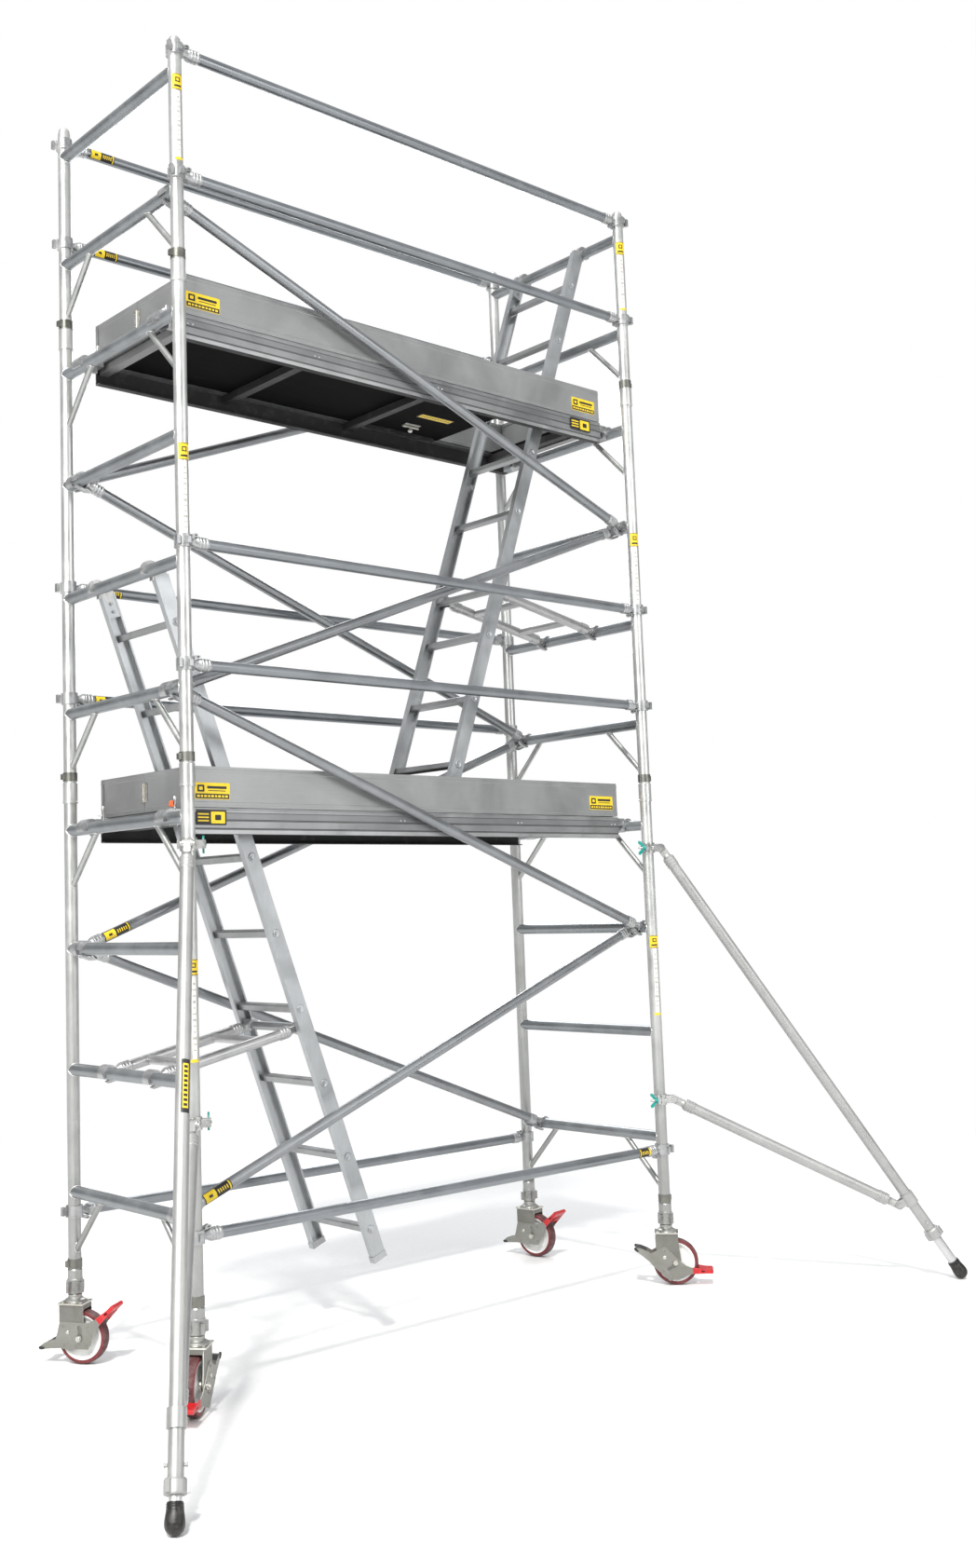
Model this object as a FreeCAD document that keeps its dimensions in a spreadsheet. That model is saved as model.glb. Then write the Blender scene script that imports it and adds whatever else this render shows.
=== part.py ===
# Mobile tower scaffold: two stacked end frames and a guard frame on each side,
# horizontal rails, diagonal braces, two hatch platforms, two inclined ladders with
# stabilisers, four braked castors on adjustable legs and two telescopic outriggers.
# Frame: +Z up, +X along the long side, +Y across the tower, origin on the ground under
# the middle of the box that holds the tower with its outriggers.  Units are millimetres.
import FreeCAD, Part
import Sketcher
import math
import os
from FreeCAD import Vector, Rotation, Placement

doc = FreeCAD.newDocument("MobileTower")

# ---------------------------------------------------------------- driving sizes
SIZES = [
    # tower; the origin values are measured from the middle of the four posts
    ("tower_length", 2500.0), ("tower_width", 860.0), ("rung_pitch", 470.0),
    ("first_rung", 645.0), ("origin_along", 150.0), ("origin_across", -400.0),
    # end frames
    ("tube_radius", 25.4), ("tube_wall", 2.0), ("rung_radius", 24.0), ("rung_wall", 2.0),
    ("spigot_radius", 23.3), ("spigot_wall", 3.0), ("spigot_length", 140.0),
    ("sleeve_radius", 28.5), ("sleeve_length", 86.0), ("foot_sleeve_length", 45.0),
    ("bead_radius", 30.2), ("frame_foot", 310.0), ("joint_above_rung", 109.0),
    ("post_over_top_rung", 102.0), ("gusset_radius", 12.0), ("gusset_wall", 2.0),
    ("gusset_reach", 195.0), ("gusset_drop", 205.0), ("gusset_inset", 215.0),
    # rails and braces
    ("brace_radius", 21.0), ("brace_wall", 2.0), ("shank_length", 104.0), ("tube_start", 62.0),
    ("hook_width", 42.0), ("hook_outer", 33.0), ("claw_outer", 33.5), ("claw_height", 46.0),
    ("fit_gap", 0.1), ("diagonal_outer_line", 365.0), ("diagonal_inner_line", 319.0),
    # platforms
    ("deck_length", 2340.0), ("deck_half_width", 330.0), ("rail_height", 95.0),
    ("rail_flange", 30.0), ("rail_web", 4.0), ("board_thickness", 11.9),
    ("crossbar_width", 40.0), ("crossbar_height", 32.0), ("crossbar_wall", 2.5),
    ("door_start", 163.0), ("door_end", 677.0), ("door_half_width", 296.0),
    ("toe_height", 152.0), ("toe_thickness", 22.0), ("toe_half_length", 1168.0),
    # ladders
    ("ladder_half_width", 213.0), ("stile_depth", 64.0), ("stile_flange", 26.0),
    ("stile_wall", 2.5), ("ladder_lean", 20.0), ("step_size", 28.0), ("step_pitch", 315.0),
    ("crossbar_radius", 17.0),
    # castors
    ("screw_radius", 19.0), ("screw_root", 17.6), ("nut_radius", 29.0), ("nut_height", 46.0),
    ("run_gap", 0.06), ("wheel_radius", 100.0), ("tyre_half_width", 24.0),
    ("rim_radius", 84.0), ("trail", 35.0), ("axle_radius", 8.0), ("fork_width", 76.0),
    ("fork_plate", 4.0), ("brake_plate", 3.0), ("brake_turn", 44.0), ("brake_pin", 5.0),
    # outriggers
    ("lip_reach", 34.0), ("stud_side", 51.0), ("arm_radius", 24.0), ("arm_wall", 2.0),
    ("arm_length", 2086.0), ("leg_radius", 20.0), ("leg_wall", 2.0), ("leg_length", 560.0),
    ("foot_radius", 30.0), ("pivot_offset", 60.0), ("ear_thickness", 5.5), ("pivot_bolt", 6.0),
]
sheet = doc.addObject("Spreadsheet::Sheet", "Dims")
for row, (alias, value) in enumerate(SIZES, start=1):
    sheet.set("A%d" % row, alias)
    sheet.set("B%d" % row, str(value))
    sheet.setAlias("B%d" % row, alias)
doc.recompute()


class Quantity:
    """A size that carries both its number and the expression that binds it to the sheet."""

    def __init__(self, value, text):
        self.value = float(value)
        self.text = text

    def __add__(self, other):
        other = quantity(other)
        return Quantity(self.value + other.value, "(%s + %s)" % (self.text, other.text))

    __radd__ = __add__

    def __sub__(self, other):
        other = quantity(other)
        return Quantity(self.value - other.value, "(%s - %s)" % (self.text, other.text))

    def __rsub__(self, other):
        return quantity(other) - self

    def __mul__(self, other):
        other = quantity(other)
        return Quantity(self.value * other.value, "(%s * %s)" % (self.text, other.text))

    __rmul__ = __mul__

    def __truediv__(self, other):
        other = quantity(other)
        return Quantity(self.value / other.value, "(%s / %s)" % (self.text, other.text))

    def __neg__(self):
        return Quantity(-self.value, "(0 - %s)" % self.text)


def quantity(value):
    if isinstance(value, Quantity):
        return value
    return Quantity(value, "(%r)" % float(value))


class DrivingSizes:
    """Holds one Quantity for each alias of the sheet."""


dims = DrivingSizes()
for alias, value in SIZES:
    setattr(dims, alias, Quantity(sheet.get(alias), "Dims." + alias))

X_AXIS = (1, 0, 0)
Y_AXIS = (0, 1, 0)
Z_AXIS = (0, 0, 1)
SIDES = (-1, 1)
name_count = 0


def fresh(name):
    """The name with a running number, so that no two objects share it."""
    global name_count
    name_count += 1
    return "%s_%d" % (name, name_count)


def bind(obj, prop, value):
    value = quantity(value)
    setattr(obj, prop, value.value)
    obj.setExpression(prop, value.text)


def vec(point):
    return Vector(*[quantity(value).value for value in point])


def turn(axis, degrees):
    return Rotation(Vector(*axis), degrees)


def toward(direction):
    """Rotation that takes +Z to a direction."""
    return Rotation(Vector(0, 0, 1), Vector(*direction))


HALF_TURN = turn(Z_AXIS, 180)
Z_TO_X = turn(Y_AXIS, 90)
Z_TO_Y = turn(X_AXIS, -90)


# ---------------------------------------------------------------- part primitives
def rod(name, radius, length, base=(0, 0, 0), direction=Z_AXIS):
    """A plain round bar from base along direction."""
    cylinder = doc.addObject("Part::Cylinder", fresh(name))
    bind(cylinder, "Radius", radius)
    bind(cylinder, "Height", length)
    cylinder.Placement = Placement(vec(base), toward(direction))
    return cylinder


def block(name, size, corner=(0, 0, 0), rotation=Rotation()):
    box = doc.addObject("Part::Box", fresh(name))
    for prop, value in zip(("Length", "Width", "Height"), size):
        bind(box, prop, value)
    box.Placement = Placement(vec(corner), rotation)
    return box


def cut(name, base, *tools):
    """The base less each tool in turn."""
    for tool in tools:
        result = doc.addObject("Part::Cut", fresh(name))
        result.Base = base
        result.Tool = tool
        base = result
    return base


def fuse(name, shapes):
    result = doc.addObject("Part::MultiFuse", fresh(name))
    result.Shapes = shapes
    result.Refine = True
    return result


def group(name, members, placement=Placement()):
    """Several separate solids kept together, with a placement of their own."""
    compound = doc.addObject("Part::Compound", fresh(name))
    compound.Links = members
    compound.Placement = placement
    return compound


def at(obj, position=(0, 0, 0), rotation=Rotation()):
    """One more copy of a piece, moved to a place."""
    return group(obj.Name + "_copy", [obj], Placement(vec(position), rotation))


def pipe(name, radius, wall, length, base=(0, 0, 0), direction=Z_AXIS):
    """A tube: outer bar less its bore."""
    return cut(name, rod(name + "_out", radius, length, base, direction),
               rod(name + "_bore", radius - wall, length, base, direction))


def lugs(name, count, first_angle, size, reach, bottom):
    """Radial blocks evenly spaced about Z, each starting at reach from the axis."""
    blocks = []
    for i in range(count):
        rotation = turn(Z_AXIS, first_angle + 360 / count * i)
        corner = rotation.multVec(Vector(reach, -size[1] / 2, bottom))
        blocks.append(block(name, size, corner, rotation))
    return blocks


# ---------------------------------------------------------------- sketched bodies
def constrain(sketch, kind, references, value):
    index = sketch.addConstraint(Sketcher.Constraint(kind, *references, value.value))
    sketch.setExpression("Constraints[%d]" % index, value.text)


def pin_point(sketch, geometry, point, u, v):
    """Fix a point of a sketch element to (u, v), bound to the sheet."""
    for kind, value, axis in (("DistanceX", u, -2), ("DistanceY", v, -1)):
        if abs(value.value) < 1e-9:
            sketch.addConstraint(Sketcher.Constraint("PointOnObject", geometry, point, axis))
        else:
            constrain(sketch, kind, (-1, 1, geometry, point), value)


def sketch_on(body, name, role, loops, circles=()):
    """Closed straight-sided outlines of (u, v) corners, and circles of (u, v, radius)."""
    sketch = body.newObject("Sketcher::SketchObject", fresh(name))
    plane = [f for f in body.Origin.OriginFeatures if f.Role == role][0]
    sketch.AttachmentSupport = [(plane, "")]
    sketch.MapMode = "FlatFace"
    first = 0
    for loop in loops:
        corners = [(quantity(u), quantity(v)) for u, v in loop]
        count = len(corners)
        for i in range(count):
            start, end = corners[i], corners[(i + 1) % count]
            sketch.addGeometry(Part.LineSegment(Vector(start[0].value, start[1].value, 0),
                                                Vector(end[0].value, end[1].value, 0)), False)
        for i in range(count):
            sketch.addConstraint(Sketcher.Constraint("Coincident", first + i, 2,
                                                     first + (i + 1) % count, 1))
        for i, (u, v) in enumerate(corners):
            pin_point(sketch, first + i, 1, u, v)
        first += count
    for circle in circles:
        u, v, radius = [quantity(value) for value in circle]
        sketch.addGeometry(Part.Circle(Vector(u.value, v.value, 0), Vector(0, 0, 1),
                                       radius.value), False)
        pin_point(sketch, first, 3, u, v)
        constrain(sketch, "Radius", (first,), radius)
        first += 1
    return sketch


def turned(name, profile):
    """A body of revolution about Z: the profile is (radius, height)."""
    body = doc.addObject("PartDesign::Body", fresh(name))
    sketch = sketch_on(body, name + "_profile", "XZ_Plane", [profile])
    revolution = body.newObject("PartDesign::Revolution", fresh(name + "_turn"))
    revolution.Profile = sketch
    revolution.ReferenceAxis = (sketch, ["V_Axis"])
    revolution.Angle = 360
    return body


def plate(name, role, outline, thickness, circles=(), holes=()):
    """An outline padded evenly to both sides of a plane, holes left out."""
    body = doc.addObject("PartDesign::Body", fresh(name))
    sketch = sketch_on(body, name + "_outline", role, [outline] + list(holes), circles)
    pad = body.newObject("PartDesign::Pad", fresh(name + "_pad"))
    pad.Profile = sketch
    pad.SideType = "Symmetric"
    bind(pad, "Length", thickness)
    return body


def mirrored(half_profile):
    """A (radius, height) profile followed by its mirror image in height."""
    return half_profile + [(radius, -height) for radius, height in reversed(half_profile)]


# Every node is set back from the post centres to the origin of the whole model.
MIDDLE = Placement(vec((-dims.origin_along, -dims.origin_across, 0)), Rotation())
nodes = []


def node(label, members, placement=Placement()):
    """One exported piece of the tower."""
    compound = group("node", members, MIDDLE * placement)
    compound.Label = label
    nodes.append(compound)


# ---------------------------------------------------------------- shared places
HALF_X = dims.tower_length.value / 2
HALF_Y = dims.tower_width.value / 2
ENDS_X = (-HALF_X, HALF_X)
POSTS_Y = (-HALF_Y, HALF_Y)


def rung_z(number):
    """Height of a rung, counted from 1 at the bottom."""
    return dims.first_rung.value + dims.rung_pitch.value * (number - 1)


BASE_BOTTOM = dims.frame_foot.value
MIDDLE_BOTTOM = rung_z(4) + dims.joint_above_rung.value
GUARD_BOTTOM = rung_z(8) + dims.joint_above_rung.value
GUARD_TOP = rung_z(10) + dims.post_over_top_rung.value

# ---------------------------------------------------------------- end frames
tube_bore = dims.tube_radius - dims.tube_wall
SPIGOT_INSERT = 80  # length of the spigot's bore inside the post


def post(name, length, socket, spigot):
    """One turned tube: a wider socket with a rolled bead at its lower end and, where
    another frame stacks on it, a reduced spigot at its upper end."""
    profile = [(tube_bore, 0), (dims.bead_radius, 0), (dims.bead_radius, 6),
               (dims.sleeve_radius, 8), (dims.sleeve_radius, socket - 5),
               (dims.tube_radius, socket), (dims.tube_radius, length)]
    if spigot:
        spigot_top = length + dims.spigot_length
        spigot_bore = dims.spigot_radius - dims.spigot_wall
        profile += [(dims.spigot_radius, length), (dims.spigot_radius, spigot_top - 6),
                    (dims.spigot_radius - 2, spigot_top), (spigot_bore, spigot_top),
                    (spigot_bore, length - SPIGOT_INSERT), (tube_bore, length - SPIGOT_INSERT)]
    else:
        profile.append((tube_bore, length))
    return turned(name, profile)


base_post = post("base_post", dims.rung_pitch * 3 + dims.first_rung - dims.frame_foot
                 + dims.joint_above_rung, dims.foot_sleeve_length, True)
middle_post = post("middle_post", dims.rung_pitch * 4, dims.sleeve_length, True)
guard_post = post("guard_post", dims.rung_pitch * 2 - dims.joint_above_rung
                  + dims.post_over_top_rung, dims.sleeve_length, False)
post_cap = turned("post_cap", [
    (0, -30), (tube_bore - 0.1, -30), (tube_bore - 0.1, -0.1), (tube_bore - 0.1, 0),
    (24.6, 0.05), (24.6, 7), (22.8, 8.5), (22.8, 15), (21.5, 20), (17.5, 25), (10.5, 28.6),
    (0, 30)])

# Solid bars on the post lines trim every tube that is welded to the posts.
post_trim = group("post_trim", [rod("trim", dims.tube_radius, 6000, (0, y, -500))
                                for y in POSTS_Y])


def rung(z):
    tube = pipe("rung_pipe", dims.rung_radius, dims.rung_wall, dims.tower_width,
                (0, -HALF_Y, z), Y_AXIS)
    return cut("rung", tube, post_trim)


def gusset(z, side):
    """Thin strut from under a rung, out and down to the post."""
    start_z = z - 10
    end_inset = 8
    fall = (dims.gusset_drop * (dims.gusset_inset - end_inset) / dims.gusset_reach).value
    start = vec((0, side * (HALF_Y - dims.gusset_inset), start_z))
    way = Vector(0, side * (HALF_Y - end_inset), start_z - fall) - start
    tube = pipe("gusset_pipe", dims.gusset_radius, dims.gusset_wall, way.Length, start, way)
    rung_trim = rod("gusset_trim", dims.rung_radius, dims.tower_width,
                    (0, -HALF_Y, z), Y_AXIS)
    return cut("gusset", tube, rung_trim, post_trim)


def frame_set(post_body, bottom, rungs, braced, cap_z=None):
    """Two posts, numbered rungs, gussets under the braced rungs and caps if wanted."""
    members = [at(post_body, (0, y, bottom)) for y in POSTS_Y]
    members += [rung(rung_z(number)) for number in rungs]
    members += [gusset(rung_z(number), side) for number in braced for side in SIDES]
    if cap_z is not None:
        members += [at(post_cap, (0, y, cap_z)) for y in POSTS_Y]
    return members


frames = [("base", frame_set(base_post, BASE_BOTTOM, (1, 2, 3, 4), (1, 4))),
          ("middle", frame_set(middle_post, MIDDLE_BOTTOM, (5, 6, 7, 8), (5, 8))),
          ("guard", frame_set(guard_post, GUARD_BOTTOM, (9, 10), (9,), GUARD_TOP))]
for end_name, x in (("left", -HALF_X), ("right", HALF_X)):
    for frame_name, members in frames:
        node("%s_frame_%s" % (frame_name, end_name), members,
             Placement(Vector(x, 0, 0), Rotation()))

# Spring clips above each post's sleeve: a split band with a finger tab facing outwards.
CLIP_HEIGHT = 34
clip_band = cut("band", rod("band_out", dims.tube_radius + 3.4, CLIP_HEIGHT),
                rod("band_in", dims.tube_radius + 0.05, CLIP_HEIGHT))
clip_tab = cut("tab_piece", block("tab", (13, 16, 22), (-39, -8, 6)),
               rod("tab_trim", dims.tube_radius + 1.5, CLIP_HEIGHT))
clip = cut("clip", fuse("clip_body", [clip_band, clip_tab]),
           block("band_slit", (20, 7, CLIP_HEIGHT), (18, -3.5, 0)))
clip_heights = (BASE_BOTTOM + dims.foot_sleeve_length + 2,
                MIDDLE_BOTTOM + dims.sleeve_length + 3,
                GUARD_BOTTOM + dims.sleeve_length + 3)
node("frame_lock_clips", [at(clip, (x, y, z), turn(Z_AXIS, 0 if x < 0 else 180))
                          for x in ENDS_X for y in POSTS_Y for z in clip_heights])


# ---------------------------------------------------------------- brace ends
def shank(name, tube):
    """A cast neck, then a ferrule with three rolled rings that takes the tube end."""
    low, ring = tube + 1.8, tube + 3.4
    inside, inside_start = tube + 0.05, dims.tube_start - 0.1
    return turned(name, [
        (0, 18), (16, 18), (14.5, 38), (18.5, 50), (low, 57),
        (low, 63), (ring, 65), (ring, 69), (low, 71),
        (low, 77), (ring, 79), (ring, 83), (low, 85),
        (low, 91), (ring, 93), (ring, 97), (low, 99),
        (tube + 1.2, dims.shank_length), (inside, dims.shank_length),
        (inside, inside_start), (0, inside_start)])


brace_shank = shank("brace_shank", dims.brace_radius)


def post_claw():
    """Claw that grips an upright post; the tube leaves along +X, the mouth faces -X."""
    ring = rod("claw_ring", dims.claw_outer, dims.claw_height, (0, 0, -dims.claw_height / 2))
    nose = block("claw_nose", (14, 22, 34), (-44, -31, -17))
    lug = block("claw_lug", (16, 18, 24), (-8, -43, -12))
    solid = fuse("claw_solid", [ring, at(brace_shank, rotation=Z_TO_X), nose, lug])
    hole = rod("claw_hole", dims.tube_radius + dims.fit_gap, dims.claw_height + 20,
               (0, 0, -dims.claw_height / 2 - 10))
    mouth = block("claw_mouth", (60, 34, 80), (-72, -15, -40))
    latch = plate("claw_latch", "XZ_Plane",
                  [(34.5, 17.5), (62, 24.5), (62, 33.5), (52, 37), (36, 31), (36, 23.2)], 17,
                  holes=[[(45, 26), (45, 30), (53, 32), (57, 30.5), (57, 27)]])
    return group("claw", [cut("claw_cast", solid, hole, mouth), latch])


def rung_hook(name, bar, outer):
    """Hook that drops over a bar lying along Y; the tube leaves along +X."""
    edge = -dims.hook_width / 2
    wide, wide_edge = dims.hook_width + 20, edge - 10
    gap = bar + dims.fit_gap
    ring = rod(name + "_ring", outer, dims.hook_width, (0, edge, 0), Y_AXIS)
    solid = fuse(name + "_solid", [ring, at(brace_shank, rotation=Z_TO_X)])
    foot = block(name + "_foot", (44 + gap, wide, 60), (-60, wide_edge, -60 - 0.55 * bar))
    hole = rod(name + "_hole", gap, wide, (0, wide_edge, 0), Y_AXIS)
    mouth = block(name + "_mouth", (2 * gap, wide, 60), (-gap, wide_edge, -60))
    return cut(name, solid, foot, hole, mouth)


claw = post_claw()
frame_hook = rung_hook("frame_hook", dims.rung_radius, dims.hook_outer)
hook_latch = plate("hook_latch", "XZ_Plane", [
    (56, -21.8), (56, -27), (32, -37), (-6, -37), (-13, -30), (-9, -26.5), (26, -26.5),
    (37, -19.5)], 16)
hook = group("hook", [frame_hook, hook_latch])
bar_hook = rung_hook("bar_hook", dims.crossbar_radius, dims.crossbar_radius + 9)
brace_ends = []

# ---------------------------------------------------------------- horizontal rails
RAILS = [  # side in Y, height
    (-1, 4953.0), (-1, 4465.0), (-1, 3060.0), (-1, 2608.0), (-1, 590.0),
    (1, 4932.0), (1, 4500.0), (1, 3044.0), (1, 2588.0), (1, 570.0)]
rail_length = dims.tower_length - 2 * dims.tube_start
rail_tube = pipe("rail_tube", dims.brace_radius, dims.brace_wall, rail_length,
                 (-rail_length / 2, 0, 0), X_AXIS)
rails = []
for side, z in RAILS:
    rails.append(at(rail_tube, (0, side * HALF_Y, z)))
    brace_ends.append(at(claw, (-HALF_X, side * HALF_Y, z),
                         turn(X_AXIS, 0 if side < 0 else 180)))
    brace_ends.append(at(claw, (HALF_X, side * HALF_Y, z),
                         HALF_TURN * turn(X_AXIS, 180 if side < 0 else 0)))
node("horizontal_rails", rails)

# ---------------------------------------------------------------- diagonal braces
outer_line, inner_line = dims.diagonal_outer_line, dims.diagonal_inner_line
DIAGONALS = [  # side in Y, distance from the centre line, left rung, right rung
    (-1, outer_line, 9, 7), (-1, inner_line, 5, 7), (-1, outer_line, 5, 3),
    (-1, inner_line, 1, 3), (1, outer_line, 7, 9), (1, inner_line, 7, 5),
    (1, outer_line, 3, 5), (1, inner_line, 3, 1)]
diagonal_rise = 2 * dims.rung_pitch.value
diagonal_span = math.hypot(dims.tower_length.value, diagonal_rise)
slope = math.degrees(math.atan2(diagonal_rise, dims.tower_length.value))
diagonal_tube = pipe("diagonal_tube", dims.brace_radius, dims.brace_wall,
                     diagonal_span - 2 * dims.tube_start, (dims.tube_start, 0, 0), X_AXIS)
diagonals = []
for side, line, left, right in DIAGONALS:
    angle = slope if right > left else -slope
    left_end = (-HALF_X, side * line, rung_z(left))
    right_end = (HALF_X, side * line, rung_z(right))
    diagonals.append(at(diagonal_tube, left_end, turn(Y_AXIS, -angle)))
    brace_ends.append(at(hook, left_end, turn(Y_AXIS, -angle)))
    brace_ends.append(at(hook, right_end, HALF_TURN * turn(Y_AXIS, angle)))
node("diagonal_braces", diagonals)
node("brace_hooks", brace_ends)

# ---------------------------------------------------------------- platform frame
# Drawn for the upper level: local z = 0 is the centre of the rung that carries it and
# the hatch is towards +X.
deck_half = dims.deck_half_width
flange = dims.rail_flange
web = dims.rail_web
board_half = deck_half - flange - 0.5
BOARD_Z = 25  # underside of the boards and the trapdoor
CROSSBARS_X = (-1135.0, -526.0, 148.0, 1072.0, 1135.0)
CROSSBAR_Z = -10.1
SADDLES_Y = (-290, 290)
HINGES_X = (dims.door_start + 110, dims.door_end - 110)
HINGE_Y, HINGE_Z = -298, 44.5  # axis of the trapdoor hinges
LEAF_THICKNESS = 2.2
KNUCKLE_RADIUS, KNUCKLE_WALL = 3.4, 1.6
rail_low = -55
rail_top = rail_low + dims.rail_height
RAIL_SECTION = [  # inset from the deck's edge, height
    (0, rail_low), (0, -40), (1.6, -38.4), (1.6, -34), (0, -32.4), (0, -8), (1.6, -6.4),
    (1.6, -2), (0, -0.4), (0, 22), (-2.4, 24.4), (-2.4, 34), (0, 36.4), (0, rail_top),
    (flange, rail_top), (flange, rail_top - 3), (web, rail_top - 3), (web, 24.9),
    (flange + 13, 24.9), (flange + 13, 22), (web, 22), (web, rail_low + 4),
    (flange, rail_low + 4), (flange, rail_low)]
SILL_SECTION = [  # x, z
    (-1170, 25), (-1143.6, 25), (-1143.6, 40), (-1146.6, 40), (-1146.6, 28), (-1167, 28),
    (-1167, 40), (-1170, 40)]


def deck_crossbar():
    """Rectangular tube across the deck between the rail webs."""
    width, height, wall = dims.crossbar_width, dims.crossbar_height, dims.crossbar_wall
    reach = deck_half - web
    return cut("crossbar",
               block("crossbar_out", (width, 2 * reach - 0.2, height),
                     (-width / 2, -reach + 0.1, CROSSBAR_Z)),
               block("crossbar_in", (width - 2 * wall, 2 * reach, height - 2 * wall),
                     (-width / 2 + wall, -reach, CROSSBAR_Z + wall)))


def deck_saddle():
    """Broad cast hook over the rung with a block that fills the rail end."""
    gap = dims.rung_radius + dims.fit_gap
    solid = fuse("saddle_solid", [rod("saddle_ring", 37, 60, (0, -30, 0), Y_AXIS),
                                  block("saddle_block", (58, 56, 33), (21.9, -28, 3)),
                                  block("saddle_rib", (40, 14, 26), (22, -7, -20))])
    toe = block("saddle_toe", (70, 80, 40), (-60, -40, -52))
    hole = rod("saddle_hole", gap, 80, (0, -40, 0), Y_AXIS)
    mouth = block("saddle_mouth", (2 * gap, 80, 60), (-gap, -40, -60))
    return cut("saddle", solid, toe, hole, mouth)


def fixed_hinge():
    """Hinge leaf on the rail, with its middle knuckle and the pin."""
    leaf = block("fixed_leaf", (64, 22, LEAF_THICKNESS), (-32, -326, 40.05))
    stem = block("knuckle_stem", (20, 6.5, LEAF_THICKNESS), (-10, -304.5, 40.05))
    knuckle = pipe("fixed_knuckle", KNUCKLE_RADIUS, KNUCKLE_WALL, 20,
                   (-10, HINGE_Y, HINGE_Z), X_AXIS)
    pin = rod("knuckle_pin", 1.75, 66, (-33, HINGE_Y, HINGE_Z), X_AXIS)
    return group("hinge_fixed", [fuse("leaf_fixed", [leaf, stem, knuckle]), pin])


side_rail = plate("side_rail", "YZ_Plane", [(-deck_half + inset, z) for inset, z in RAIL_SECTION],
                  dims.deck_length)
crossbar = deck_crossbar()
saddle = deck_saddle()
hinge_fixed = fixed_hinge()
end_sill = plate("end_sill", "XZ_Plane", SILL_SECTION, 2 * board_half)
deck_frame = [side_rail, at(side_rail, rotation=HALF_TURN)]
deck_frame += [at(crossbar, (x, 0, 0)) for x in CROSSBARS_X]
deck_frame += [at(saddle, (-HALF_X, y, 0)) for y in SADDLES_Y]
deck_frame += [at(saddle, (HALF_X, y, 0), HALF_TURN) for y in SADDLES_Y]
deck_frame += [at(hinge_fixed, (x, 0, 0)) for x in HINGES_X]
deck_frame += [end_sill, at(end_sill, rotation=HALF_TURN)]

# ---------------------------------------------------------------- boards and trapdoor
BOARD_END = 1143.0
END_BOARD_START = 1058
deck_board = [
    block("board_long", (dims.door_start - 12 + BOARD_END, 2 * board_half,
                         dims.board_thickness), (-BOARD_END, -board_half, BOARD_Z)),
    block("board_end", (BOARD_END - END_BOARD_START, 2 * board_half, dims.board_thickness),
          (END_BOARD_START, -board_half, BOARD_Z))]


def moving_hinge():
    """Hinge leaf under the trapdoor with its two outer knuckles, bored for the pin."""
    parts = [block("moving_leaf", (64, 30, LEAF_THICKNESS), (-32, -294.5, 36.95))]
    for x in (-32, 11):
        parts.append(pipe("moving_knuckle", KNUCKLE_RADIUS, KNUCKLE_WALL, 20.5,
                          (x, HINGE_Y, HINGE_Z), X_AXIS))
        parts.append(block("leaf_arm", (20.5, 5.2, 6.5), (x, -296.2, 38.2)))
    pin_trim = rod("pin_trim", 1.8, 90, (-45, HINGE_Y, HINGE_Z), X_AXIS)
    return cut("leaf_moving_bored", fuse("leaf_moving", parts), pin_trim)


def door_latch():
    """Plate, sliding bolt and knob on the underside of the trapdoor."""
    knob_x, bolt_y = 412, 176
    latch_plate = block("latch_plate", (90, 40, 3), (370, 150, 21.9))
    bolt = rod("latch_bolt", 5, 96, (367, bolt_y, 16.8), X_AXIS)
    knob_stem = rod("knob_stem", 5, 14, (knob_x, bolt_y, 3))
    knob_head = turned("knob_head", [(0, -10), (8, -9), (12, -4), (12, 1), (8, 4), (0, 4)])
    knob_head.Placement = Placement(Vector(knob_x, bolt_y, 1), Rotation())
    knob = fuse("latch_knob", [knob_stem, knob_head])
    return fuse("latch", [latch_plate, bolt, knob])


door_length = dims.door_end - dims.door_start
hinge_moving = moving_hinge()
trapdoor = [block("door_panel", (door_length, 2 * dims.door_half_width, dims.board_thickness),
                  (dims.door_start, -dims.door_half_width, BOARD_Z))]
trapdoor += [block("door_edge", (door_length - 70, 20, 14), (dims.door_start + 35, y, 10.9))
             for y in (-285, 265)]
trapdoor += [at(hinge_moving, (x, 0, 0)) for x in HINGES_X]
trapdoor.append(door_latch())

# ---------------------------------------------------------------- toe boards
# Two long boards, and at each end two half boards on a centre butt hinge.
TOE_Z = 44
BUTT_Z = TOE_Z + 39
BUTT_HEIGHT = 74
BUTT_LEAF = 2.0  # leaf thickness
toe_deep, toe_high = dims.toe_thickness, dims.toe_height
TOE_SECTION = [  # y from the outer face inwards, z from the bottom edge
    (0, 0), (toe_deep, 0), (toe_deep, 14), (toe_deep - 3, 17), (toe_deep - 3, toe_high - 17),
    (toe_deep, toe_high - 14), (toe_deep, toe_high), (0, toe_high), (0, toe_high - 10),
    (-1.2, toe_high - 12), (-1.2, toe_high - 20), (0, toe_high - 22), (0, 20), (-1.2, 18),
    (-1.2, 10), (0, 8)]
toe_side_y = deck_half - 2
half_toe_length = toe_side_y - toe_deep - 2.2
toe_end_x = dims.toe_half_length - 1.2
half_toe_y = 1.1 + half_toe_length / 2
side_toe = plate("side_toe", "YZ_Plane", TOE_SECTION, 2 * dims.toe_half_length)
half_toe = plate("half_toe", "YZ_Plane", TOE_SECTION, half_toe_length)


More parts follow.
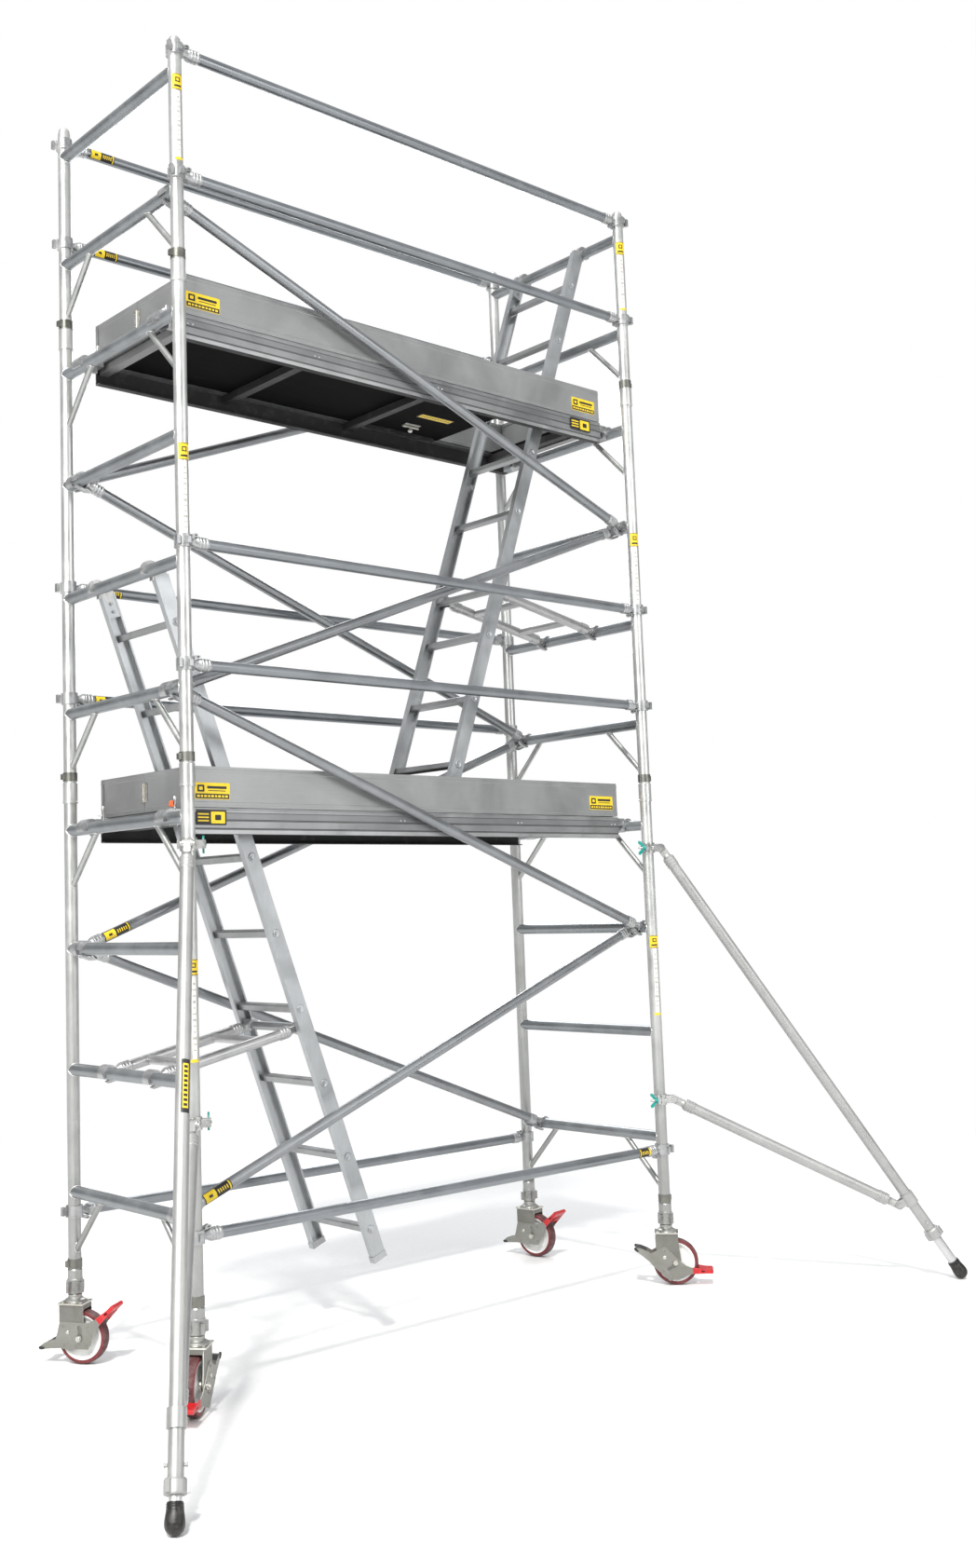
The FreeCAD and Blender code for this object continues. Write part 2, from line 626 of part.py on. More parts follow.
def butt_hinge(end):
    """Riveted hinge on the outside of the half boards at one end, -1 or 1."""
    leaf_x = end * (toe_end_x + 1.3) - (0 if end > 0 else BUTT_LEAF)
    leaf = block("butt_leaf", (BUTT_LEAF, 44, BUTT_HEIGHT), (leaf_x, -22, BUTT_Z))
    barrel = rod("butt_barrel", 4.2, BUTT_HEIGHT, (end * (toe_end_x + 4.4), 0, BUTT_Z))
    rivets = [rod("butt_rivet", 3.2, 1.6, (end * (toe_end_x + 3.2), y, BUTT_Z + z), (end, 0, 0))
              for y in (-15, 15) for z in (12, 37, 62)]
    return fuse("butt_hinge", [leaf, barrel] + rivets)


toe_boards = [at(side_toe, (0, -toe_side_y, TOE_Z)),
              at(side_toe, (0, toe_side_y, TOE_Z), HALF_TURN)]
for end in SIDES:
    for side in SIDES:
        toe_boards.append(at(half_toe, (end * toe_end_x, side * half_toe_y, TOE_Z),
                             turn(Z_AXIS, end * 90)))
    toe_boards.append(butt_hinge(end))

for level, spot in (("upper", Placement(Vector(0, 0, rung_z(8)), Rotation())),
                    ("lower", Placement(Vector(0, 0, rung_z(4)), HALF_TURN))):
    node(level + "_deck_frame", deck_frame, spot)
    node(level + "_deck_board", deck_board, spot)
    node(level + "_trapdoor", trapdoor, spot)
    node(level + "_toe_boards", toe_boards, spot)

# ---------------------------------------------------------------- ladder
# Drawn for the lower level: the local origin is the rung the ladder hangs on, and the
# ladder leans towards +X going down.  Places on it are distances down the stile.
STILE_FROM, STILE_TO = -8.0, 2802.0
FIRST_STEP = 175.6
STEP_COUNT = 9
LADDER_BAR = 1833.6
BAR_WALL = 2.0
HOOK_THICKNESS = 20
TONGUE_LENGTH = 112
STILE_LIP = 2.2
lean = math.radians(dims.ladder_lean.value)
down = Vector(math.sin(lean), 0, -math.cos(lean))
across = Vector(math.cos(lean), 0, math.sin(lean))
stile_top = Vector(45.0, 0, -22.0)  # on the stile centre line, beside the rung
LADDER_ROT = turn(Y_AXIS, -dims.ladder_lean.value)
half_depth = dims.stile_depth / 2
stile_wall, stile_flange = dims.stile_wall, dims.stile_flange
STILE_SECTION = [  # x, inset from the ladder's side
    (-half_depth, 0), (half_depth, 0), (half_depth, stile_flange),
    (half_depth - 7, stile_flange), (half_depth - 7, stile_flange - STILE_LIP),
    (half_depth - stile_wall, stile_flange - STILE_LIP), (half_depth - stile_wall, stile_wall),
    (-half_depth + stile_wall, stile_wall),
    (-half_depth + stile_wall, stile_flange - STILE_LIP),
    (-half_depth + 7, stile_flange - STILE_LIP), (-half_depth + 7, stile_flange),
    (-half_depth, stile_flange)]
step_half = dims.step_size / 2
STEP_SECTION = [  # x, z; three shallow grooves in the top
    (-step_half + 3, -step_half), (step_half - 3, -step_half), (step_half, -step_half + 3),
    (step_half, step_half - 3), (step_half - 3, step_half), (step_half - 5.5, step_half - 1.2),
    (step_half - 8, step_half), (1.5, step_half), (0, step_half - 1.2), (-1.5, step_half),
    (-step_half + 8, step_half), (-step_half + 5.5, step_half - 1.2),
    (-step_half + 3, step_half), (-step_half, step_half - 3), (-step_half, -step_half + 3)]
STEP_HOLE = [
    (-step_half + 3, -step_half + 3), (step_half - 3, -step_half + 3),
    (step_half - 3, step_half - 4), (-step_half + 3, step_half - 4)]


def on_ladder(distance):
    return stile_top + down * distance


def ladder_hook(side, stile_piece):
    """Plate hook over the rung, bolted to the upper end of a stile."""
    y = side * 199.0
    start_y = y - HOOK_THICKNESS / 2
    ring = rod("ladder_hook_ring", 38, HOOK_THICKNESS, (0, start_y, 0), Y_AXIS)
    corner = on_ladder(-22 + TONGUE_LENGTH) - across * 27
    tongue = block("ladder_hook_tongue", (54, HOOK_THICKNESS, TONGUE_LENGTH),
                   (corner.x, start_y, corner.z), LADDER_ROT)
    toe = block("ladder_hook_toe", (70, 40, 60), (-66, y - 20, -76))
    hole = rod("ladder_hook_hole", dims.rung_radius + dims.fit_gap, 60, (0, y - 30, 0), Y_AXIS)
    bolt_y = y - 18 if side > 0 else y + 10
    bolts = [rod("ladder_hook_bolt", 6, 8, (on_ladder(s).x, bolt_y, on_ladder(s).z), Y_AXIS)
             for s in (34, 66)]
    solid = fuse("ladder_hook", [ring, tongue] + bolts)
    return cut("ladder_hook_end", solid, toe, hole, stile_piece)


def stile_plug(side):
    """Block over the foot of a stile."""
    corner = on_ladder(STILE_TO) - across * (half_depth.value + 2) + down * 26.2
    return block("stile_plug", (dims.stile_depth + 4, dims.stile_flange + 4, 26),
                 (corner.x, side * 200.0 - 15, corner.z), LADDER_ROT)


between_stiles = 2 * (dims.ladder_half_width - stile_wall) - 0.1
stile = plate("stile", "XY_Plane",
              [(x, -dims.ladder_half_width + inset) for x, inset in STILE_SECTION],
              STILE_TO - STILE_FROM)
stile_middle = on_ladder((STILE_FROM + STILE_TO) / 2)
stile_near = at(stile, stile_middle, LADDER_ROT)
stile_far = at(stile, stile_middle, LADDER_ROT * HALF_TURN)
step = plate("step", "XZ_Plane", STEP_SECTION, between_stiles, holes=[STEP_HOLE])
bar_at = on_ladder(LADDER_BAR)
ladder = [stile_near, stile_far]
ladder += [at(step, on_ladder(FIRST_STEP + i * dims.step_pitch.value), LADDER_ROT)
           for i in range(STEP_COUNT)]
ladder.append(pipe("ladder_bar", dims.crossbar_radius, BAR_WALL, between_stiles,
                   (bar_at.x, -between_stiles / 2, bar_at.z), Y_AXIS))
ladder += [ladder_hook(-1, stile_near), ladder_hook(1, stile_far)]
ladder += [stile_plug(side) for side in SIDES]
node("lower_ladder", ladder, Placement(Vector(-HALF_X, 0, rung_z(6)), Rotation()))
node("upper_ladder", ladder, Placement(Vector(HALF_X, 0, rung_z(10)), HALF_TURN))

# ---------------------------------------------------------------- ladder stabiliser
# Two parallel tubes, drawn along +X, from the rung four pitches below the ladder's own
# rung to the ladder's crossbar, joined by two coped ties.
STAY_Y = 163.0
TIE_FRACTIONS = (0.27, 0.72)
stay_end = Vector(bar_at.x, 0, bar_at.z + 4 * dims.rung_pitch.value)
stay_span = stay_end.Length
tilt = turn(Y_AXIS, -math.degrees(math.atan2(stay_end.z, stay_end.x)))
stay_tube_length = stay_span - 2 * dims.tube_start
stay = []
stay_trims = []
for side in SIDES:
    start = (dims.tube_start, side * STAY_Y, 0)
    stay.append(pipe("stay_tube", dims.brace_radius, dims.brace_wall, stay_tube_length,
                     start, X_AXIS))
    stay_trims.append(rod("stay_trim", dims.brace_radius, stay_tube_length, start, X_AXIS))
    stay.append(at(hook, (0, side * STAY_Y, 0)))
    stay.append(at(bar_hook, (stay_span, side * STAY_Y, 0), HALF_TURN))
stay_trim = group("stay_trims", stay_trims)
for fraction in TIE_FRACTIONS:
    tie = pipe("stay_tie", dims.crossbar_radius, BAR_WALL, 2 * STAY_Y,
               (stay_span * fraction, -STAY_Y, 0), Y_AXIS)
    stay.append(cut("stay_tie_coped", tie, stay_trim))
node("lower_ladder_stabiliser", stay, Placement(Vector(-HALF_X, 0, rung_z(2)), tilt))
node("upper_ladder_stabiliser", stay, Placement(Vector(HALF_X, 0, rung_z(6)), HALF_TURN * tilt))

# ---------------------------------------------------------------- castor legs
# Castors are drawn about the post's axis with the wheel trailing to +X.
THREAD_FROM, THREAD_TO, THREAD_PITCH = 268.0, 556, 12.0
NUT_Z = 263


def castor_leg_screw():
    """King pin, flange, threaded stem and the plain end inside the post."""
    thread = []
    z = THREAD_FROM
    while z < THREAD_TO:
        thread += [(dims.screw_radius, z), (dims.screw_root, z + 1.8),
                   (dims.screw_root, z + 5.4), (dims.screw_radius, z + 7.2)]
        z += THREAD_PITCH
    lower = [(0, 208), (14, 208), (15, 209), (15, 223.9), (10, 223.9), (10, 230.1),
             (34, 230.1), (42, 231), (42, 235), (38, 239), (31, 243), (28, 246), (27, 250),
             (27, 258), (25, 260.5), (dims.screw_radius, 261.5)]
    upper = [(dims.screw_radius, 640), (dims.spigot_radius, 641), (dims.spigot_radius, 700),
             (0, 700)]
    return turned("leg_screw", lower + thread + upper)


def castor_leg_nut():
    """Plain-bored ring on the screw with four lugs."""
    ring = cut("nut_ring", rod("nut_out", dims.nut_radius, dims.nut_height, (0, 0, NUT_Z)),
               rod("nut_in", dims.screw_radius + dims.run_gap, dims.nut_height, (0, 0, NUT_Z)))
    return fuse("leg_nut", [ring] + lugs("nut_lug", 4, 45, (21.5, 13, 38), 21, NUT_Z + 4))


leg_screw = castor_leg_screw()
leg_nut = castor_leg_nut()

# ---------------------------------------------------------------- castor fork and wheel
axle_z = dims.wheel_radius
wheel_at = (dims.trail, 0, axle_z)
# The brake rocks on a pin above the axle and towards -X from it, one on each fork plate.
BRAKE_BACK, BRAKE_UP = 48.0, 22.0
brake_pin_at = vec((dims.trail - BRAKE_BACK, 0, axle_z + BRAKE_UP))
FORK_OUTLINE = [  # x, z
    (-50, 227), (-47, 230), (47, 230), (50, 227), (52, 172), (60, 112), (57, 92), (47, 79),
    (35, 74.5), (22, 79), (12, 88), (-28, 106), (-46, 134), (-50, 160), (-50, 200)]
FORK_INSIDE = [
    (-46, 224), (46, 224), (46, 206), (130, 206), (130, 40), (-130, 40), (-130, 206),
    (-46, 206)]


def fork_bracket():
    """Bent fork: padded side view hollowed between the two plates, with a top plate."""
    body = plate("fork_body", "XZ_Plane", FORK_OUTLINE, dims.fork_width)
    doc.recompute()
    solid_volume = body.Shape.Volume
    inside = sketch_on(body, "fork_inside", "XZ_Plane", [FORK_INSIDE])
    pocket = body.newObject("PartDesign::Pocket", "fork_pocket")
    pocket.Profile = inside
    pocket.SideType = "Symmetric"
    bind(pocket, "Length", dims.fork_width - 2 * dims.fork_plate)
    doc.recompute()
    if not body.Shape.Volume < 0.5 * solid_volume:
        raise RuntimeError("the fork's inside was not cut")
    top = block("fork_top", (104, 92, 6), (-52, -46, 224))
    bores = group("fork_bores", [
        rod("king_bore", 10.06, 20, (0, 0, 215)),
        rod("axle_bore", dims.axle_radius + 0.03, 120, (dims.trail, -60, axle_z), Y_AXIS)])
    return cut("fork_holes", fuse("fork_joined", [body, top]), bores)


def wheel_axle():
    axle = rod("axle", dims.axle_radius, 92, (dims.trail, -46, axle_z), Y_AXIS)
    head = turned("axle_head", [(0, 0), (13, 0), (13, 3), (11, 8), (8.5, 8), (8.5, 12), (0, 12)])
    heads = [at(head, (dims.trail, side * 42.4, axle_z), turn(X_AXIS, -90 * side))
             for side in (1, -1)]
    return fuse("axle_set", [axle] + heads)


fork = [fork_bracket(), wheel_axle()]
fork_rivet = turned("fork_rivet", [(0, 0), (6, 0), (5.2, 2.4), (3, 3.4), (0, 3.4)])
fork += [at(fork_rivet, (x, y, 230.05)) for x in (-38, 38) for y in (-34, 34)]
brake_pin = turned("brake_pin", [(0, 38.05), (dims.brake_pin, 38.05), (dims.brake_pin, 42.0),
                                 (8, 42.0), (8, 44.0), (6, 45.5), (0, 45.5)])
fork += [at(brake_pin, brake_pin_at, turn(X_AXIS, -90 * side)) for side in SIDES]

hub = turned("wheel_hub", mirrored([
    (dims.axle_radius + dims.run_gap, -30), (17, -30), (20, -27), (22, -15), (30, -11.5),
    (62, -9.5), (70, -13), (76, -20), (81, -22.5), (dims.rim_radius, -22.5)]))
tyre = turned("tyre", mirrored([
    (dims.rim_radius, -22.5), (88, -dims.tyre_half_width), (95, -23), (98.6, -19),
    (dims.wheel_radius, -12)]))

# ---------------------------------------------------------------- castor brake
# Two side plates on the pins, a pedal block at the +X end and a cross arm at the -X end.
# Its own origin is on the wheel's axle.
BRAKE_OUTLINE = [  # x, z
    (-84, 52), (-78, 60), (17, 58), (44, 62), (64, 71), (93.7, 93), (107.8, 76.6), (90, 58),
    (78, 42), (66, 24), (54, -6), (37, -38), (-60, -41), (-82, -38), (-118, -41), (-160, -45),
    (-168, -42), (-166, -34), (-150, -22), (-120, -10), (-100, -5), (-92, 18)]
PEDAL_OUTLINE = [
    (92, 92), (106.5, 75.2), (127.2, 97), (147, 116), (148.5, 121), (142, 129), (137, 128),
    (116.8, 109.2)]
PEDAL_HOLE = [(107.9, 87.5), (120, 97.9), (116.1, 102.5), (104, 92.1)]
ARM_OUTLINE = [(-124, -39), (-124, -13), (-150, -23), (-162, -32), (-162, -43)]
BRAKE_RIVETS = [(-70, 44), (34, 46), (-66, -26), (30, -22), (-14, -28)]
BRAKE_PLATE_Y = 40.2  # middle of each side plate


def polar(centre, radius, angle):
    return (centre[0] + radius * math.cos(angle), centre[1] + radius * math.sin(angle))


def arc_points(centre, radius, start, sweep, steps):
    return [polar(centre, radius, start + sweep * i / steps) for i in range(steps + 1)]


def brake_slot():
    """Curved slot round the axle, so that the plates can rock about the pins."""
    pin = (-BRAKE_BACK, BRAKE_UP)
    reach = math.hypot(BRAKE_BACK, BRAKE_UP)
    half = dims.axle_radius.value + 0.6
    start = math.atan2(-BRAKE_UP, BRAKE_BACK)
    sweep = math.radians(dims.brake_turn.value + 1.0)
    end = start + sweep
    return (arc_points(pin, reach + half, start, sweep, 8)
            + arc_points(polar(pin, reach, end), half, end, math.pi, 6)[1:-1]
            + arc_points(pin, reach - half, end, -sweep, 8)
            + arc_points(polar(pin, reach, start), half, start + math.pi, math.pi, 6)[1:-1])


def castor_brake():
    side_plate = plate("brake_side", "XZ_Plane", BRAKE_OUTLINE, dims.brake_plate,
                       circles=[(-BRAKE_BACK, BRAKE_UP, dims.brake_pin + 0.1)],
                       holes=[brake_slot()])
    pedal = plate("brake_pedal", "XZ_Plane", PEDAL_OUTLINE, 2 * BRAKE_PLATE_Y + 4,
                  holes=[PEDAL_HOLE])
    arm = plate("brake_arm", "XZ_Plane", ARM_OUTLINE, 2 * BRAKE_PLATE_Y)
    rivet = turned("brake_rivet", [(0, 0), (5, 0), (4.2, 2), (2.2, 2.8), (0, 2.8)])
    rivets = [at(rivet, (x, side * (BRAKE_PLATE_Y + dims.brake_plate / 2), z),
                 turn(X_AXIS, -90 * side)) for side in SIDES for x, z in BRAKE_RIVETS]
    return fuse("brake", [at(side_plate, (0, BRAKE_PLATE_Y, 0)),
                          at(side_plate, (0, -BRAKE_PLATE_Y, 0)), pedal, arm] + rivets)


brake = castor_brake()

CASTORS = [  # name, x, y, trailing azimuth, brake turned down, turn of the nut
    ("front_left", -HALF_X, -HALF_Y, -140.0, True, -140.0),
    ("back_left", -HALF_X, HALF_Y, -56.0, False, -30.0),
    ("front_right", HALF_X, -HALF_Y, -50.0, True, -50.0),
    ("back_right", HALF_X, HALF_Y, -80.0, False, -60.0)]
for name, x, y, azimuth, pressed, nut_azimuth in CASTORS:
    spot = Placement(Vector(x, y, 0), turn(Z_AXIS, azimuth))
    rock = turn(Y_AXIS, dims.brake_turn.value if pressed else 0)
    brake_at = brake_pin_at - rock.multVec(Vector(-BRAKE_BACK, 0, BRAKE_UP))
    node("leg_screw_" + name, [leg_screw], spot)
    node("leg_nut_" + name, [at(leg_nut, rotation=turn(Z_AXIS, nut_azimuth - azimuth))], spot)
    node("castor_fork_" + name, fork, spot)
    node("wheel_hub_" + name, [at(hub, wheel_at, Z_TO_Y)], spot)
    node("tyre_" + name, [at(tyre, wheel_at, Z_TO_Y)], spot)
    node("brake_pedal_" + name, [at(brake, brake_at, rock)], spot)

# ---------------------------------------------------------------- outrigger clamps
# Clamps are drawn with the post as the Z axis and the outrigger reaching along +X.
EAR_START = 24
CLAMP_HEIGHT = 46
CLAMP_RADIUS = 31.5
LIP_Y = 28  # inner edge of the lips
BOLT_Y = 34
hex_bolt = turned("hex_bolt", [
    (0, -7), (10, -7), (10, 0), (dims.pivot_bolt, 0), (dims.pivot_bolt, 36.4), (9.6, 36.4),
    (9.6, 43), (7, 45), (0, 45)])


def ears(name, pivot_x):
    """A pair of ears along +X, rounded about a pivot bolt."""
    thickness = dims.ear_thickness
    parts = []
    for side in SIDES:
        y = side * (12.3 + thickness / 2) - thickness / 2
        parts.append(block(name + "_ear", (pivot_x - EAR_START, thickness, 34),
                           (EAR_START, y, -17)))
        parts.append(rod(name + "_ear_round", 17, thickness, (pivot_x, y, 0), Y_AXIS))
    return parts


def pivot_hole(x):
    return rod("pivot_hole", dims.pivot_bolt + 0.03, 60, (x, -30, 0), Y_AXIS)


def pivot_bolt(x):
    return at(hex_bolt, (x, -18.2, 0), Z_TO_Y)


def clamp_lips(x, side):
    """Long lip for the stud on the given side, short lip for the bolt on the other."""
    long_y = LIP_Y if side > 0 else -LIP_Y - dims.lip_reach
    short_y = -LIP_Y - 12 if side > 0 else LIP_Y
    return [block("long_lip", (12, dims.lip_reach, 30), (x, long_y, -15)),
            block("short_lip", (12, 12, 30), (x, short_y, -15))]


def clamp_set(side):
    """Clamp halves with their bolts; the wing nut's stud is on the given side in Y."""
    stud_y, bolt_y = side * dims.stud_side, -BOLT_Y * side
    inner_half = cut("saddle_ring", rod("saddle_bar", CLAMP_RADIUS, CLAMP_HEIGHT,
                                        (0, 0, -CLAMP_HEIGHT / 2)),
                     block("saddle_half", (40, 80, 60), (-39, -40, -30)))
    eared = fuse("clamp_saddle", [inner_half] + ears("clamp", dims.pivot_offset)
                 + [block("clamp_web", (10, 30, 34), (22, -15, -17))] + clamp_lips(1.2, side))
    outer_half = cut("strap_ring", rod("strap_bar", CLAMP_RADIUS, CLAMP_HEIGHT - 6,
                                       (0, 0, -CLAMP_HEIGHT / 2 + 3)),
                     block("strap_half", (40, 80, 60), (-1, -40, -30)))
    strap = fuse("clamp_strap", [outer_half] + clamp_lips(-13.2, side))
    side_bolt = fuse("side_bolt_set", [rod("side_bolt", 4, 34, (-16, bolt_y, 0), X_AXIS)]
                     + [rod("side_head", 7, 6, (x, bolt_y, 0), X_AXIS) for x in (-19.4, 13.4)])
    stud = fuse("stud_set", [rod("stud", 5, 68, (-48, stud_y, 0), X_AXIS),
                             rod("stud_head", 9, 7, (13.4, stud_y, 0), X_AXIS)])
    post_hole = rod("post_hole", dims.tube_radius + 0.05, 80, (0, 0, -40))
    holes = group("bolt_holes", [rod("side_bolt_hole", 4.05, 60, (-30, bolt_y, 0), X_AXIS),
                                 rod("stud_hole", 5.05, 60, (-30, stud_y, 0), X_AXIS)])
    return group("clamp_set", [
        cut("clamp_saddle_bored", eared, post_hole, pivot_hole(dims.pivot_offset), holes),
        cut("clamp_strap_bored", strap, post_hole, holes),
        pivot_bolt(dims.pivot_offset), side_bolt, stud])


def wing_nut():
    """Nut for the clamp's stud: a hub and two flared wings, standing on Z."""
    bore = 5.06
    nut_hub = turned("wing_hub", [(bore, 0), (13, 0), (12, 4), (9.5, 16), (bore, 16)])
    wings = plate("wing_plate", "XZ_Plane", [
        (-10, 2), (10, 2), (12, 10), (24, 17), (32, 26), (31, 34), (22, 35), (12, 26), (6, 16),
        (-6, 16), (-12, 26), (-22, 35), (-31, 34), (-32, 26), (-24, 17), (-12, 10)], 7)
    return cut("wing_nut", fuse("wing_nut_solid", [nut_hub, wings]),
               rod("wing_bore", bore, 60, (0, 0, -10)))


wing = wing_nut()

# ---------------------------------------------------------------- outrigger arm
# Arms, struts and legs are drawn along +Z from their upper or first pivot.
COLLAR_AT, PIN_AT = 1895.0, 2018.0  # distances along the arm
COLLAR_PIVOT = 54.0  # the strut's pivot, out from the arm's axis


def tube_end():
    """Cast tongue on a pivot hole, with the shank that takes the tube."""
    tongue = cut("tongue_square", block("tongue_block", (34, 24, 58), (-17, -12, -17)),
                 block("tongue_nip", (40, 30, 18), (-20, -15, -18)))
    tongue_round = rod("tongue_round", 17, 24, (0, -12, 0), Y_AXIS)
    solid = fuse("arm_end_solid", [tongue, tongue_round, shank("arm_shank", dims.arm_radius)])
    return cut("arm_end", solid,
               rod("tongue_hole", dims.pivot_bolt + 0.05, 40, (0, -20, 0), Y_AXIS))


def strut_collar():
    """Collar round the arm with ears and a bolt for the strut."""
    ring = fuse("collar_solid", [rod("collar_ring", 30, 56, (0, 0, -28))]
                + ears("collar", COLLAR_PIVOT))
    bore = rod("collar_bore", dims.arm_radius + 0.02, 80, (0, 0, -40))
    return group("collar_set", [cut("collar", ring, bore, pivot_hole(COLLAR_PIVOT)),
                                pivot_bolt(COLLAR_PIVOT)])


def leg_lock():
    """Lugged ring at the lower end of the arm, round the sliding leg."""
    leg_bore = dims.leg_radius + dims.run_gap
    arm_bore = dims.arm_radius + 0.04
    ring = turned("lock_ring", [(leg_bore, 12), (26, 12), (33, 9), (34, 4), (34, -28),
                                (31, -34), (arm_bore, -34), (arm_bore, 0.4), (leg_bore, 0.4)])
    return fuse("lock_set", [ring] + lugs("lock_lug", 3, 90, (12, 16, 34), 29, -29))


arm_end = tube_end()
arm_tube = pipe("arm_tube", dims.arm_radius, dims.arm_wall, dims.arm_length - dims.tube_start,
                (0, 0, dims.tube_start))
leg_pin = turned("leg_pin", [(0, 0), (5, 0), (5, 6), (7, 6.5), (7, 9), (5.5, 10.5), (0, 10.5)])
arm_set = group("arm_set", [
    arm_end, arm_tube, at(strut_collar(), (0, 0, COLLAR_AT)),
    at(leg_lock(), (0, 0, dims.arm_length))]
    + [at(leg_pin, (0, side * (dims.arm_radius + 0.02), PIN_AT), turn(X_AXIS, -90 * side))
       for side in SIDES])

# ---------------------------------------------------------------- outrigger leg and foot
leg_pipe = pipe("leg_pipe", dims.leg_radius, dims.leg_wall, dims.leg_length)
# The foot's rounded end is a ball of foot_radius about this height on its own axis.
FOOT_CENTRE = 56.0
LEG_IN_FOOT = 51.9
foot = turned("foot", [
    (dims.leg_radius + 0.02, 0), (24, 0), (24.5, 14), (27, 30), (29.6, 46),
    (dims.foot_radius, FOOT_CENTRE), (29, 64), (26.2, 71), (21.5, 77.5), (15, 82.2), (8, 85),
    (0, 86), (0, 52), (dims.leg_radius + 0.02, 52)])


def outrigger_strut(length):
    """Tube with a cast tongue at each end."""
    tube = pipe("strut_tube", dims.arm_radius, dims.arm_wall, length - 2 * dims.tube_start,
                (0, 0, dims.tube_start))
    return group("strut_set", [arm_end, tube, at(arm_end, (0, 0, length), turn(X_AXIS, 180))])


OUTRIGGERS = [
    # name, x, y, azimuth, upper clamp z, lower clamp z, reach of the ball centre,
    # side of the wing nuts
    ("left", -HALF_X, -HALF_Y, -126.7, 1955.0, 978.0, 1058.0, 1),
    ("right", HALF_X, -HALF_Y, -43.2, 1948.0, 811.0, 1284.0, -1)]
for name, x, y, azimuth, upper_z, lower_z, reach, nut_side in OUTRIGGERS:
    spot = Placement(Vector(x, y, 0), turn(Z_AXIS, azimuth))
    clamp = clamp_set(nut_side)
    node("outrigger_clamps_" + name, [at(clamp, (0, 0, upper_z)), at(clamp, (0, 0, lower_z))],
         spot)

    upper_pivot = vec((dims.pivot_offset, 0, upper_z))
    arm_way = vec((reach, 0, dims.foot_radius)) - upper_pivot
    ball_distance = arm_way.Length
    arm_way.normalize()
    arm_rot = toward(arm_way)
    node("outrigger_arm_" + name, [at(arm_set, upper_pivot, arm_rot)], spot)

    # The strut runs from the lower clamp to the ears of the collar.
    lower_pivot = vec((dims.pivot_offset, 0, lower_z))
    collar_side = arm_rot.multVec(Vector(1, 0, 0))
    collar_pivot = upper_pivot + arm_way * COLLAR_AT + collar_side * COLLAR_PIVOT
    strut_way = collar_pivot - lower_pivot
    strut = outrigger_strut(strut_way.Length)
    node("outrigger_strut_" + name, [at(strut, lower_pivot, toward(strut_way))], spot)

    foot_from = ball_distance - FOOT_CENTRE
    leg_from = foot_from + LEG_IN_FOOT - dims.leg_length.value
    node("outrigger_leg_" + name, [at(leg_pipe, upper_pivot + arm_way * leg_from, arm_rot)],
         spot)
    node("outrigger_foot_" + name, [at(foot, upper_pivot + arm_way * foot_from, arm_rot)], spot)
    for level, z in (("upper", upper_z), ("lower", lower_z)):
        node("wing_nut_%s_%s" % (name, level),
             [at(wing, (-13.25, nut_side * dims.stud_side, z), turn(Y_AXIS, -90))], spot)

# ---------------------------------------------------------------- check and write
doc.recompute()
bad = []
for obj in doc.Objects:
    if any(word in ("Invalid", "Error") for word in obj.State):
        bad.append("%s (%s) %s" % (obj.Name, obj.Label, obj.State))
for piece in nodes:
    if piece.Shape.isNull() or not piece.Shape.isValid() or not piece.Shape.Solids:
        bad.append("shape of " + piece.Label)
if bad:
    raise RuntimeError("; ".join(bad[:20]))
os.makedirs("parts", exist_ok=True)
for piece in nodes:
    piece.Shape.exportStep(os.path.join("parts", piece.Label + ".step"))
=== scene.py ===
"""Mobile scaffold tower: tube end frames, two decks with hatches, two ladders, braces, four
braked castors and two outriggers.

The tower stands on z = 0. Its length runs along X and its width along Y; the front is -Y.
Places are measured from the middle of the four posts, and OFF takes them to the frame's origin.
"""
import bpy
import bmesh
import math
from mathutils import Matrix, Vector


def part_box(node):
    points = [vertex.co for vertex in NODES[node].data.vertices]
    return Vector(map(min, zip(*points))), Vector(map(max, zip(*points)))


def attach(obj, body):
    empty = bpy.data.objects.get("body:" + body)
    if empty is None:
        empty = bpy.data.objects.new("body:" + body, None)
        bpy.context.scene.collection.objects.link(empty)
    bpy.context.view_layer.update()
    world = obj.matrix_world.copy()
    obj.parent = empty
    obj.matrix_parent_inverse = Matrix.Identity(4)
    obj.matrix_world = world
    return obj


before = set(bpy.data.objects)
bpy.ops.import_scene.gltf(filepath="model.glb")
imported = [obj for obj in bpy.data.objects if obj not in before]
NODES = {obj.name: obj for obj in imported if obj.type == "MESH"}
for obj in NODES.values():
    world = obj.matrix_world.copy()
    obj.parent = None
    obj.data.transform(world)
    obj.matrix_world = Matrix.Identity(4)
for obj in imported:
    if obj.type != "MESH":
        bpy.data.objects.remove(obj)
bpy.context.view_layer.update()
scene = bpy.context.scene

# ------------------------------------------------------------------ driving sizes
HALF_X, HALF_Y = 1.25, 0.43  # post axes
LEFT_BOX, RIGHT_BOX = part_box("base_frame_left"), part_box("base_frame_right")
OFF = Vector(((LEFT_BOX[0][0] + RIGHT_BOX[1][0]) / 2, (LEFT_BOX[0][1] + LEFT_BOX[1][1]) / 2, 0.0))
POST_R = 0.0254
RUNG_R = 0.024
RUNG_COUNT = 10
FIRST_RUNG_Z, RUNG_PITCH = 0.645, 0.47
SIDES = (-1, 1)

# level, rung the deck hangs on, X side of its hatch
DECKS = (("lower", 4, -1), ("upper", 8, 1))
# level, X side, rung the ladder hooks on
LADDERS = (("lower", -1, 6), ("upper", 1, 10))

